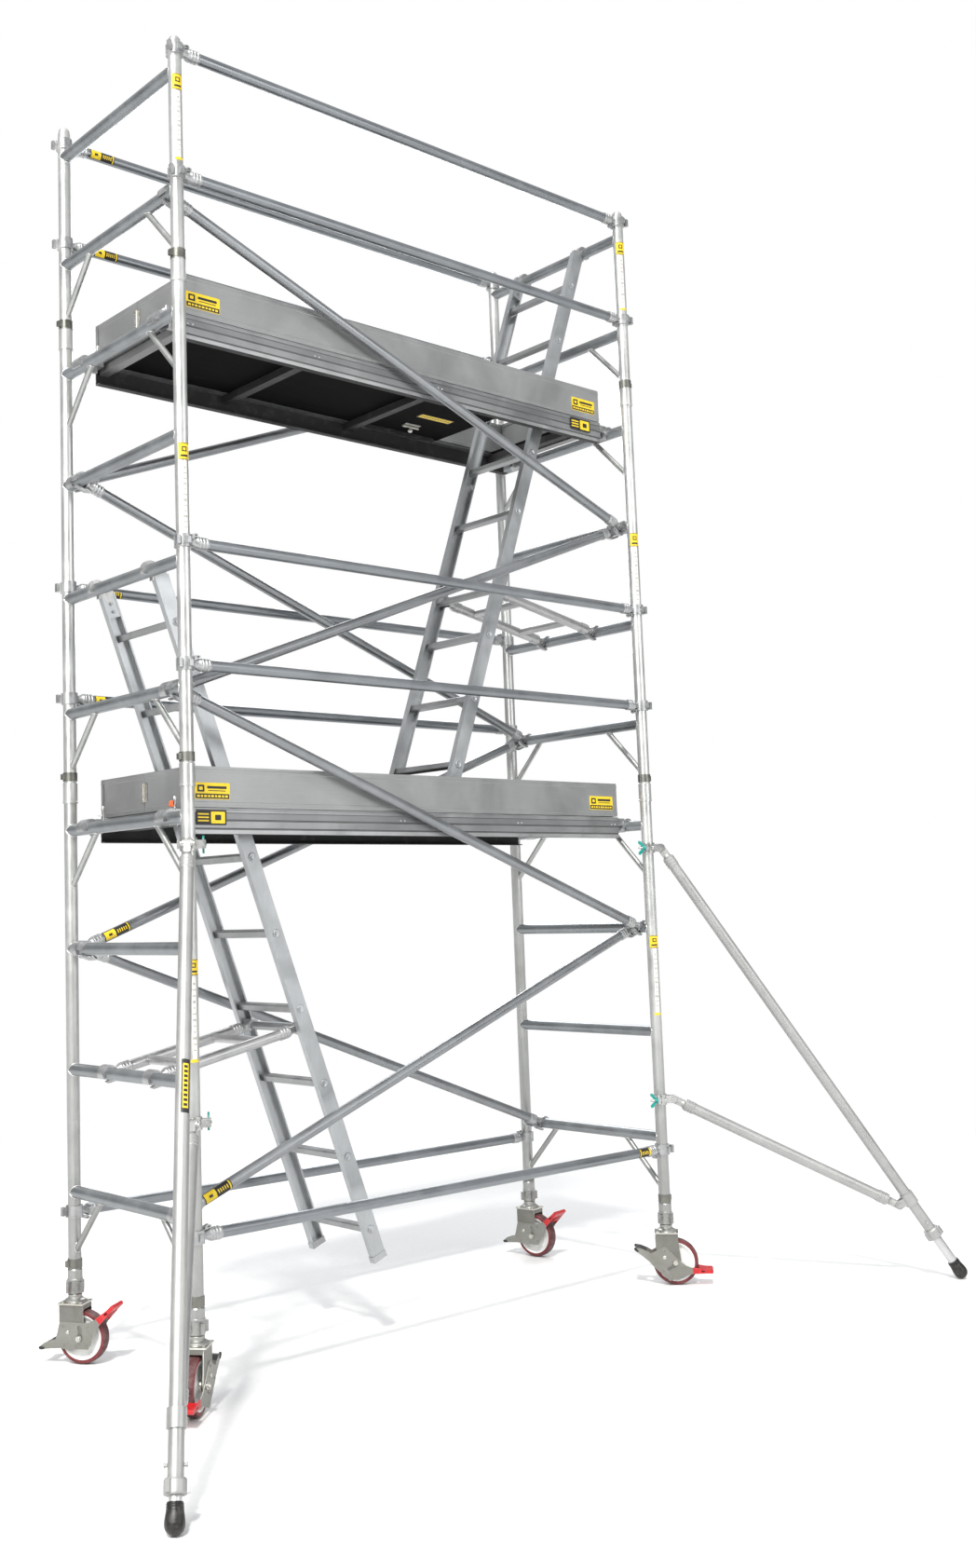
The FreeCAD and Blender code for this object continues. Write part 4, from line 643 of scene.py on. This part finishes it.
def wrap(origin, axis, face_dir, radius, length, span, thick, steps=10):
    """A thin closed patch wrapped on a tube, span radians wide about face_dir."""
    axis = Vector(axis).normalized()
    d = (face_dir - axis * face_dir.dot(axis)).normalized()
    e = axis.cross(d)
    verts, faces = [], []
    for i in range(steps + 1):
        q = -span / 2 + span * i / steps
        out = d * math.cos(q) + e * math.sin(q)
        for r in (radius, radius + thick):
            for along in (-length / 2, length / 2):
                verts.append(origin + out * r + axis * along)
    for i in range(steps):
        a, b = 4 * i, 4 * (i + 1)
        faces += [(a, a + 1, b + 1, b), (a + 2, b + 2, b + 3, a + 3),
                  (a, b, b + 2, a + 2), (a + 1, a + 3, b + 3, b + 1)]
    end = 4 * steps
    faces += [(0, 2, 3, 1), (end, end + 1, end + 3, end + 2)]
    return verts, faces


def prism(low, high):
    """Closed solid between two matching outlines."""
    m = len(low)
    faces = [tuple(range(m - 1, -1, -1)), tuple(range(m, 2 * m))]
    faces += [(i, (i + 1) % m, m + (i + 1) % m, m + i) for i in range(m)]
    return low + high, faces


def card(centre, u, v, at, size, thick, corner, steps=4):
    """A thin rounded rectangle; at is its (u, v, u x v) offset from centre."""
    n = u.cross(v)
    centre = centre + u * at[0] + v * at[1] + n * at[2]
    half_w, half_h = size[0] / 2 - corner, size[1] / 2 - corner
    low = []
    for sx, sy, start in ((1, 1, 0), (-1, 1, 90), (-1, -1, 180), (1, -1, 270)):
        for s in range(steps + 1):
            q = math.radians(start + 90 * s / steps)
            low.append(centre + u * (sx * half_w + corner * math.cos(q))
                       + v * (sy * half_h + corner * math.sin(q)))
    return prism(low, [p + n * thick for p in low])


def lathe(profile, matrix, segments):
    """Turned solid about local Z from (radius, height) pairs that start and end on the axis."""
    verts, faces, rows = [], [], []
    for r, z in profile:
        angles = turns(segments) if r else [0.0]
        rows.append(list(range(len(verts), len(verts) + len(angles))))
        verts += [matrix @ Vector((r * math.cos(q), r * math.sin(q), z)) for q in angles]
    for a, b in zip(rows, rows[1:]):
        for k in range(segments):
            m = (k + 1) % segments
            if len(a) == 1:
                faces.append((a[0], b[m], b[k]))
            elif len(b) == 1:
                faces.append((a[k], a[m], b[0]))
            else:
                faces.append((a[k], a[m], b[m], b[k]))
    return verts, faces


def extrude(outline, matrix, depth):
    """Flat outline in local XY pushed evenly along local Z."""
    low, high = ([matrix @ Vector((a, b, z)) for a, b in outline] for z in (-depth / 2, depth / 2))
    return prism(low, high)


def outward(point, sy):
    """Frame whose local Z points out towards the sy side."""
    return Matrix.Translation(point) @ Matrix.Rotation(-sy * math.pi / 2, 4, "X")


def upright(point):
    """Frame whose local XY plane is the XZ plane."""
    return Matrix.Translation(point) @ Matrix.Rotation(math.radians(90), 4, "X")


# ------------------------------------------------------------------ weld beads
RUNG_BEAD_R, GUSSET_BEAD_R = 0.0027, 0.0021
GUSSET_R = 0.012
GUSSET_RUNGS = (1, 4, 5, 8, 9)
# The strut axis runs from GUSSET_TOP_IN to GUSSET_LOW_IN inside the post axis, and starts
# GUSSET_DROP under the rung axis.
GUSSET_TOP_IN, GUSSET_LOW_IN, GUSSET_DROP = 0.215, 0.008, 0.010
GUSSET_FALL, GUSSET_RUN = 0.205, 0.195  # steepness of the strut
BEAD_GAP = 0.0004

beads = Soup()


def bead(points, radius, phase):
    """Rippled weld ring."""
    radii = [radius * (1 + 0.22 * math.sin(phase + 2 * math.pi * i / 2.6))
             for i in range(len(points))]
    beads.add(ring(points, radii, 6))


def rung_bead(sx, sy, k):
    points = []
    for q in turns(34):
        dx, dz = RUNG_R * 1.035 * math.cos(q), RUNG_R * 1.035 * math.sin(q)
        reach = math.sqrt(max(POST_R ** 2 - dx * dx, 0.0)) + 0.0005
        points.append(Vector((sx * HALF_X + dx, sy * (HALF_Y - reach), rung_z(k) + dz)))
    bead(points, RUNG_BEAD_R, k + sx + 2 * sy)


def gusset_beads(sx, sy, k):
    z0 = rung_z(k)
    low_z = z0 - GUSSET_DROP - GUSSET_FALL * (GUSSET_TOP_IN - GUSSET_LOW_IN) / GUSSET_RUN
    start = Vector((sx * HALF_X, sy * (HALF_Y - GUSSET_TOP_IN), z0 - GUSSET_DROP))
    end = Vector((sx * HALF_X, sy * (HALF_Y - GUSSET_LOW_IN), low_z))
    d, u, w = basis(end - start)

    def in_rung(p):
        return math.hypot(p.x - sx * HALF_X, p.z - z0) < RUNG_R + BEAD_GAP

    def in_post(p):
        return math.hypot(p.x - sx * HALF_X, p.y - sy * HALF_Y) < POST_R + BEAD_GAP

    top, low = [], []
    for q in turns(22):
        p = start + (u * math.cos(q) + w * math.sin(q)) * GUSSET_R * 1.06
        # march along the strut to the rung surface and to the post surface
        a = 0.0
        while a < 0.06 and in_rung(p + d * a):
            a += 0.0004
        top.append(p + d * a)
        b = (end - start).length
        while b > 0.05 and in_post(p + d * b):
            b -= 0.0006
        low.append(p + d * b)
    bead(top, GUSSET_BEAD_R, k)
    bead(low, GUSSET_BEAD_R, k + 1.3)


for make_beads, rungs in ((rung_bead, range(1, RUNG_COUNT + 1)), (gusset_beads, GUSSET_RUNGS)):
    for sx in SIDES:
        for k in rungs:
            for sy in SIDES:
                make_beads(sx, sy, k)
beads.make("weld_beads", ["weld_bead"], "tower", "aluminium_tube")

# ------------------------------------------------------------------ ladder rung swages
LADDER_LEAN = math.radians(20)
LADDER_TOP_IN, LADDER_TOP_DROP = 0.045, 0.022  # ladder top from the post axis and the rung
LADDER_FIRST, LADDER_PITCH, LADDER_RUNGS = 0.1756, 0.315, 9
STILE_Y = 0.2131
# radius, height
SWAGE = ((0, 0.0), (0.0095, 0.0), (0.0135, 0.0006), (0.0165, 0.0018),
         (0.0150, 0.0032), (0.0120, 0.0036), (0.0105, 0.0022), (0, 0.0020))

swages = Soup()
for level, sx, k in LADDERS:
    down = Vector((-sx * math.sin(LADDER_LEAN), 0, -math.cos(LADDER_LEAN)))
    top = Vector((sx * (HALF_X - LADDER_TOP_IN), 0, rung_z(k) - LADDER_TOP_DROP))
    for i in range(LADDER_RUNGS):
        p = top + down * (LADDER_FIRST + LADDER_PITCH * i)
        for sy in SIDES:
            swages.add(lathe(SWAGE, outward(p + Vector((0, sy * STILE_Y, 0)), sy), 20))
swages.make("ladder_rung_swages", ["alloy_stile"], "tower", "ladder_alloy")

# ------------------------------------------------------------------ labels
LABEL_MATERIALS = ["label_yellow", "label_black", "label_white", "label_ink"]
YELLOW, BLACK, WHITE, INK = range(4)
# layers on a tube: height above it, thickness
FILM, PRINT, OVERPRINT = (0.0002, 0.0004), (0.0006, 0.0003), (0.0009, 0.0003)
THIN_PRINT, THIN_OVERPRINT = (0.0006, 0.0002), (0.0009, 0.0002)
BAR_R = 0.021
Z_AXIS = Vector((0, 0, 1))


def facing(p, axis, turn):
    """Direction on a tube towards the camera, turned by some degrees."""
    d = EYE - p
    d.z *= 0.3
    d = (d - axis * d.dot(axis)).normalized()
    return Matrix.Rotation(math.radians(turn), 3, axis) @ d


def tube_patcher(soup, origin, axis, tube_r, turn=0.0):
    """Function that adds a patch some way along a tube from origin."""
    d = facing(origin, axis, turn)

    def patch(along, length, span, layer, slot):
        lift, thick = layer
        soup.add(wrap(origin + axis * along, axis, d, tube_r + lift, length, span, thick), slot)
    return patch


def post_label(x, y, turn, z_hi, z_lo, strip_z):
    """Yellow label on a post, over a white strip of printed lines that ends at strip_z."""
    patch = tube_patcher(stickers, Vector((x, y, 0)), Z_AXIS, POST_R, turn)
    mid, length, span = (z_hi + z_lo) / 2, z_hi - z_lo, 1.75
    border = 0.0022
    patch(mid, length, span, FILM, YELLOW)
    for s in SIDES:
        patch(mid + s * (length / 2 - border), border, span * 0.94, PRINT, BLACK)
    patch(mid + length * 0.12, length * 0.30, span * 0.42, PRINT, BLACK)
    patch(mid - length * 0.27, length * 0.12, span * 0.66, PRINT, BLACK)
    patch(mid + length * 0.12, length * 0.16, span * 0.22, OVERPRINT, YELLOW)

    strip_top = z_lo - 0.004
    patch((strip_top + strip_z) / 2, strip_top - strip_z, 0.75, FILM, WHITE)
    for j in range(12):
        z = z_lo - 0.03 - j * (z_lo - strip_z - 0.04) / 12
        patch(z, 0.0045 if j % 3 else 0.009, 0.32 + 0.1 * ((j * 7) % 4), THIN_PRINT, INK)
    patch(strip_z - 0.006, 0.010, 1.3, FILM, YELLOW)


def bar_label(centre, axis, length):
    """Black label with yellow blocks on a rail or a brace."""
    patch = tube_patcher(stickers, Vector(centre), Vector(axis).normalized(), BAR_R)
    span = 2.0
    patch(0, length, span, FILM, BLACK)
    patch(-length * 0.27, length * 0.40, span * 0.86, PRINT, YELLOW)
    patch(-length * 0.27, length * 0.13, span * 0.22, OVERPRINT, BLACK)
    patch(length * 0.44, length * 0.05, span * 0.86, PRINT, YELLOW)
    for s in (0.02, 0.10, 0.18, 0.26, 0.34):
        patch(length * s, length * 0.035, span * 0.34, PRINT, YELLOW)


# Flat prints, as fractions of the label: across, up, width, height;
# then height above the tower, thickness and corner radius in metres; then the slot.
WARNING_PRINT = [
    (-0.33, 0.15, 0.20, 0.42, 0.0005, 0.0003, 0.003, BLACK),
    (-0.33, 0.15, 0.10, 0.20, 0.0008, 0.0002, 0.002, YELLOW),
    (0.13, 0.22, 0.56, 0.16, 0.0005, 0.0003, 0.002, BLACK),
    (0.13, 0.02, 0.50, 0.05, 0.0005, 0.0003, 0.001, BLACK),
    (0.0, -0.31, 0.97, 0.30, 0.0005, 0.0003, 0.002, BLACK),
] + [(s * 0.1, -0.31, 0.06 if s % 2 else 0.08, 0.13, 0.0008, 0.0002, 0.0015, YELLOW)
     for s in range(-4, 5)]
RAIL_PRINT = [
    (0.22, 0.0, 0.46, 0.78, 0.0005, 0.0003, 0.003, YELLOW),
    (0.22, 0.0, 0.20, 0.36, 0.0008, 0.0002, 0.003, BLACK),
] + [(-0.26, s, 0.36, 0.10, 0.0005, 0.0003, 0.002, YELLOW) for s in (0.22, 0.0, -0.22)]


def flat_label(centre, u, size, slot, prints):
    """Upright flat label whose width runs along u."""
    centre, u = Vector(centre), Vector(u)
    width, height = size
    stickers.add(card(centre, u, Z_AXIS, (0, 0, 0), size, 0.0005, 0.004), slot)
    for across, up, w, h, lift, thick, corner, print_slot in prints:
        at = (width * across, height * up, lift)
        shell = card(centre, u, Z_AXIS, at, (width * w, height * h), thick, corner)
        stickers.add(shell, print_slot)


def hatch_label(level, k, side):
    """Strip label under a hatch."""
    soup = Soup()
    centre = Vector((side * 0.449, side * 0.038, rung_z(k) + 0.0249))
    u, v = Vector((side, 0, 0)), Vector((0, -side, 0))
    soup.add(card(centre, u, v, (0, 0, 0), (0.200, 0.046), 0.0004, 0.004), BLACK)
    soup.add(card(centre, u, v, (0, 0, 0.0004), (0.188, 0.036), 0.0003, 0.003), YELLOW)
    for j in range(-5, 6):
        at = (0.016 * j, 0, 0.0007)
        soup.add(card(centre, u, v, at, (0.010, 0.011), 0.0002, 0.002), BLACK)
    soup.make("plain_label_hatch_" + level, LABEL_MATERIALS, level + "_trapdoor", smooth=False)


# label top, label bottom, bottom of the strip
POST_LABELS = ((4.848, 4.785, 4.520), (3.424, 3.360, 3.077), (1.548, 1.492, 1.200))
# y, z, low x, high x
RAIL_LABELS = (
    (HALF_Y, 4.932, -1.134, -1.020), (HALF_Y, 4.500, -1.120, -1.010),
    (HALF_Y, 3.040, -1.12, -1.01), (HALF_Y, 2.588, -1.142, -1.035),
    (-HALF_Y, 0.590, 1.075, 1.185),
)
# y, rung at the brace's low end, x
BRACE_LABELS = ((-0.319, 1, -1.088), (0.365, 3, -1.09))
BRACE_SLOPE = math.atan2(2 * RUNG_PITCH, 2 * HALF_X)
TOE_Y, TOE_LABEL_RISE = 0.3281, 0.104
WARNING_SIZE, RAIL_LABEL_SIZE = (0.155, 0.062), (0.135, 0.056)
DECK_LABEL_X = {"lower": -1.085, "upper": 1.03}

stickers = Soup()
for sx, sy in ((-1, -1), (1, -1), (-1, 1), (1, 1)):
    for heights in POST_LABELS:
        post_label(sx * HALF_X, sy * HALF_Y, 24 if sy < 0 else 180, *heights)
for y, z, x0, x1 in RAIL_LABELS:
    bar_label(((x0 + x1) / 2, y, z), (1 if x0 < 0 else -1, 0, 0), x1 - x0)
for y, k, x in BRACE_LABELS:
    z = rung_z(k) + (x + HALF_X) * math.tan(BRACE_SLOPE)
    bar_label((x, y, z), (math.cos(BRACE_SLOPE), 0, math.sin(BRACE_SLOPE)), 0.125)
for level, k, hatch_side in DECKS:
    z0 = rung_z(k)
    for x in (-1.075, 1.06):
        for side in SIDES:
            flat_label((-side * x, side * TOE_Y, z0 + TOE_LABEL_RISE), (-side, 0, 0),
                       WARNING_SIZE, YELLOW, WARNING_PRINT)
    flat_label((DECK_LABEL_X[level], -0.3326, z0 + 0.0055), (1, 0, 0),
               RAIL_LABEL_SIZE, BLACK, RAIL_PRINT)
stickers.make("plain_labels", LABEL_MATERIALS, "tower", smooth=False)
for deck in DECKS:
    hatch_label(*deck)

# ------------------------------------------------------------------ platform fittings
LOCK_IN, LOCK_Y, LOCK_RISE = 0.052, 0.262, 0.030  # from the post axis, the middle, the rung
# radius, height
LOCK_POST = ((0, 0), (0.0075, 0), (0.0075, 0.050), (0.0062, 0.056), (0.003, 0.0595), (0, 0.060))
RIVET = ((0, 0), (0.0042, 0), (0.0039, 0.0014), (0.0022, 0.0022), (0, 0.0024))
# x, z
TONGUE = ((-0.003, 0.014), (0.007, 0.013), (0.010, 0.018), (0.009, 0.030),
          (0.006, 0.036), (0.002, 0.037), (0.0015, 0.028), (0.000, 0.020))
RIVET_PAIRS_X = (-1.135, -0.526, 0.148, 1.072)  # on the upper deck; mirrored on the lower
RIVET_HALF_GAP, RIVET_Y, RIVET_RISE = 0.011, 0.3299, 0.006

lock_posts, orange_tongues, white_tongues, rivets = Soup(), Soup(), Soup(), Soup()
for level, k, hatch_side in DECKS:
    z0 = rung_z(k)
    for sx in SIDES:
        for sy in SIDES:
            foot = Vector((sx * (HALF_X - LOCK_IN), sy * LOCK_Y, z0 + LOCK_RISE))
            lock_posts.add(lathe(LOCK_POST, Matrix.Translation(foot), 16))
            placed = upright(foot + Vector((sx * 0.010, 0, 0.004)))
            if sx < 0:
                placed = placed @ Matrix.Rotation(math.pi, 4, "Y")
            tongues = orange_tongues if level == "lower" and sy < 0 else white_tongues
            tongues.add(extrude(TONGUE, placed, 0.018))
    for x in RIVET_PAIRS_X:
        for sy in SIDES:
            for s in SIDES:
                centre = (hatch_side * x + s * RIVET_HALF_GAP, sy * RIVET_Y, z0 + RIVET_RISE)
                rivets.add(lathe(RIVET, outward(centre, sy), 12))
lock_posts.make("deck_lock_posts", ["bright_steel"], "tower", "zinc_steel")
for soup, name, key in ((orange_tongues, "deck_lock_tongues", "orange_plastic"),
                        (white_tongues, "deck_lock_tongues_clear", "white_hub")):
    bevelled(soup.make(name, [key], "tower", "zinc_steel", smooth=False), 0.0012)
rivets.make("deck_rail_rivets", ["bright_steel"], "tower", "zinc_steel")

# ------------------------------------------------------------------ castor details
# ring radius, height, wire radius, points
RACES = ((0.041, 0.2312, 0.0022, 40), (0.031, 0.2222, 0.0035, 36))
# x, z in the pedal's frame
ARM_TIP = ((-0.171, -0.041), (-0.168, -0.046), (-0.158, -0.0465), (-0.148, -0.0445),
           (-0.146, -0.0400), (-0.150, -0.0365), (-0.160, -0.0345), (-0.170, -0.035))
PEDAL_SIDE = ((0.0697, 0.0759), (0.0935, 0.0936), (0.1084, 0.0765),
              (0.0906, 0.0576), (0.0883, 0.0549))
RIB_COUNT = 5
RIB_START, RIB_SPAN = Vector((0.1098, 0, 0.0770)), Vector((0.0165, 0, 0.0174))
# radius, height
RIB = ((0, -0.034), (0.0016, -0.0335), (0.0016, 0.0335), (0, 0.034))


def both_arms(pedal, outline, arm_y, depth):
    """The same plate on both arms of a brake pedal."""
    soup = Soup()
    for sy in SIDES:
        soup.add(extrude(outline, pedal @ upright((0, sy * arm_y, 0)), depth))
    return soup


for name, *pose in CASTORS:
    swivel, wheel, pedal = castor_frames(*pose)
    brake = "brake_" + name
    races = Soup()
    for radius, z, wire_r, count in RACES:
        path = circle(Vector((0, 0, z)), Vector((1, 0, 0)), Vector((0, 1, 0)), radius, count)
        races.add(ring([swivel @ p for p in path], [wire_r] * count, 8))
    races.make("swivel_race_" + name, ["zinc_steel"], "castor_" + name, "zinc_steel")

    tips = both_arms(pedal, ARM_TIP, arm_y=0.040, depth=0.009)
    bevelled(tips.make("brake_arm_tips_" + name, ["black_plastic"], brake, "black_rubber",
                       smooth=False), 0.0015)
    jacket = both_arms(pedal, PEDAL_SIDE, arm_y=0.0402, depth=0.0041)
    bevelled(jacket.make("pedal_paint_" + name, ["red_paint"], brake, "red_paint",
                         smooth=False), 0.0006)

    ribs = Soup()
    for i in range(RIB_COUNT):
        place = upright(RIB_START + RIB_SPAN * (i / (RIB_COUNT - 1)))
        ribs.add(lathe(RIB, pedal @ place, 10))
    ribs.make("pedal_ribs_" + name, ["red_paint"], brake, "red_paint")

# ------------------------------------------------------------------ outrigger details
# name, X side, heading in degrees, height of the upper joint, reach of the foot
OUTRIGGERS = (("left", -1, -126.7, 1.955, 1.058), ("right", 1, -43.2, 1.948, 1.284))
JOINT_OUT, BALL_Z = 0.060, 0.030
LEG_R = 0.024
FOOT_LENGTH = 0.056
RIDGE_STEPS = (0.006, 0.013, 0.020)
RIDGE_R, RIDGE_WIRE_R = 0.0245, 0.0016


def outrigger_label(centre, axis):
    soup = Soup()
    patch = tube_patcher(soup, centre, axis, LEG_R, turn=22)
    patch(0, 0.180, 1.25, FILM, BLACK)
    patch(0, 0.150, 0.80, PRINT, YELLOW)
    for i in range(9):
        patch(0.016 * i - 0.064, 0.009, 0.52, THIN_OVERPRINT, BLACK)
    soup.make("plain_label_outrigger", LABEL_MATERIALS, "outrigger_left", smooth=False)


for name, sx, heading, joint_z, reach in OUTRIGGERS:
    place = (Matrix.Translation((sx * HALF_X, -HALF_Y, 0))
             @ Matrix.Rotation(math.radians(heading), 4, "Z"))
    joint, ball = Vector((JOINT_OUT, 0, joint_z)), Vector((reach, 0, BALL_Z))
    way = (place.to_3x3() @ (ball - joint).normalized()).normalized()
    start = place @ joint
    if name == "left":
        outrigger_label(start + way * 0.905, -way)
    # rings round the rubber foot
    ridges = Soup()
    _, u, w = basis(way)
    for s in RIDGE_STEPS:
        centre = start + way * ((ball - joint).length - FOOT_LENGTH + s)
        ridges.add(ring(circle(centre, u, w, RIDGE_R, 32), [RIDGE_WIRE_R] * 32, 6))
    ridges.make("foot_ridges_" + name, ["black_rubber"], "outrigger_leg_" + name, "black_rubber")

# ------------------------------------------------------------------ floor
BACKDROP = (1.0, 1.0, 1.0)
FLOOR_FADE = (2.2, 6.5)  # distance over which the floor turns into the backdrop


def floor_material():
    """Light grey floor that fades into the backdrop, for the camera only."""
    net = Surface("studio_floor")
    grain = net.noise(scale=40.0, detail=4.0, rough=0.6)
    col = net.ramp(grain, [(0.3, 0.80), (0.7, 0.84)])
    net.finish(col, rough=0.85, metallic=0.0, bump=grain, strength=0.04, distance=0.001)
    glow = net.new("ShaderNodeEmission")
    net.feed(glow.inputs["Color"], BACKDROP)
    glow.inputs["Strength"].default_value = 1.0
    split = net.new("ShaderNodeSeparateXYZ")
    net.link(net.coord.outputs["Object"], split.inputs[0])
    x_squared, y_squared = (net.calc("POWER", split.outputs[axis], 2.0) for axis in "XY")
    distance = net.calc("SQRT", net.calc("ADD", x_squared, y_squared))
    fade = net.remap(distance, FLOOR_FADE, (0.0, 1.0))
    light_path = net.new("ShaderNodeLightPath")
    fade = net.calc("MULTIPLY", fade, light_path.outputs["Is Camera Ray"])
    mixer = net.new("ShaderNodeMixShader")
    for i, socket in enumerate((fade, net.bsdf.outputs[0], glow.outputs[0])):
        net.link(socket, mixer.inputs[i])
    net.link(mixer.outputs[0], net.out.inputs[0])
    return net.mat


mesh = bpy.data.meshes.new("studio_floor")
bm = bmesh.new()
bmesh.ops.create_grid(bm, x_segments=24, y_segments=24, size=60.0)
bm.to_mesh(mesh)
bm.free()
mesh.materials.append(floor_material())
floor = bpy.data.objects.new("studio_floor", mesh)
floor.location = (OFF.x, OFF.y, -0.0015)
scene.collection.objects.link(floor)

# ------------------------------------------------------------------ world
# position from straight down (0) to straight up (1), brightness
SKY = ((0.0, 0.28), (0.47, 0.30), (0.53, 0.34), (0.66, 0.48), (0.82, 0.95), (1.0, 1.15))
SKY_STRENGTH = 0.75

world = bpy.data.worlds.new("studio")
scene.world = world
world.use_nodes = True
net = Nodes(world.node_tree, "ShaderNodeOutputWorld")
mixer = net.new("ShaderNodeMixShader")
seen = net.new("ShaderNodeBackground")
net.feed(seen.inputs[0], BACKDROP)
seen.inputs[1].default_value = 1.0
sky = net.new("ShaderNodeBackground")
coord = net.new("ShaderNodeTexCoord")
split = net.new("ShaderNodeSeparateXYZ")
net.link(coord.outputs["Generated"], split.inputs[0])
height = net.remap(split.outputs["Z"], (-1.0, 1.0), (0.0, 1.0))
net.link(net.ramp(height, [(p, (v * 0.985, v, v * 1.02)) for p, v in SKY]), sky.inputs[0])
sky.inputs[1].default_value = SKY_STRENGTH
light_path = net.new("ShaderNodeLightPath")
for i, socket in enumerate((light_path.outputs["Is Camera Ray"], sky.outputs[0],
                            seen.outputs[0])):
    net.link(socket, mixer.inputs[i])
net.link(mixer.outputs[0], net.out.inputs[0])


# ------------------------------------------------------------------ lights
def aim(direction):
    return direction.to_track_quat("-Z", "Y").to_euler()


def area(name, location, target_z, size, power, color=(1, 1, 1)):
    """Rectangular light aimed at a height on the tower's middle axis."""
    light = bpy.data.lights.new(name, "AREA")
    light.shape = "RECTANGLE"
    light.size, light.size_y = size
    light.energy = power
    light.color = color
    obj = bpy.data.objects.new(name, light)
    obj.location = Vector(location) + OFF
    obj.rotation_euler = aim(Vector((0, 0, target_z)) - Vector(location))
    scene.collection.objects.link(obj)


sun = bpy.data.lights.new("key_sun", "SUN")
sun.energy = 2.2
sun.angle = math.radians(5)
sun.color = (1.0, 0.985, 0.955)
sun_obj = bpy.data.objects.new("key_sun", sun)
sun_obj.rotation_euler = aim(Vector((0.62, 0.55, -1.05)))
scene.collection.objects.link(sun_obj)
area("softbox_left", (-6.5, -3.0, 5.5), target_z=2.6, size=(3.5, 5.0), power=420,
     color=(1.0, 0.99, 0.97))
area("softbox_front", (2.0, -7.5, 4.2), target_z=2.4, size=(4.0, 4.0), power=160)
area("rim_back", (4.5, 5.5, 6.0), target_z=3.0, size=(3.0, 4.0), power=260,
     color=(0.97, 0.985, 1.0))

# ------------------------------------------------------------------ camera
# Turn as axis times angle, from a level camera that looks along +Y.
CAMERA_TURN = Vector((0.11151, -0.69706, 0.00699))

cam_data = bpy.data.cameras.new("camera")
cam_data.sensor_fit = "AUTO"
cam_data.sensor_width = 36.0
cam_data.lens = 35.486631
cam_data.shift_x = 0.06828877
cam_data.shift_y = -0.02278075
cam_data.clip_start, cam_data.clip_end = 0.05, 200.0
cam = bpy.data.objects.new("camera", cam_data)
cam.matrix_world = (Matrix.Translation(OFF + EYE) @ Matrix.Rotation(math.pi / 2, 4, "X")
                    @ Matrix.Rotation(CAMERA_TURN.length, 4, CAMERA_TURN.normalized()))
scene.collection.objects.link(cam)
scene.camera = cam
scene.view_settings.view_transform = "Standard"
scene.view_settings.look = "None"
scene.view_settings.exposure = 0.0
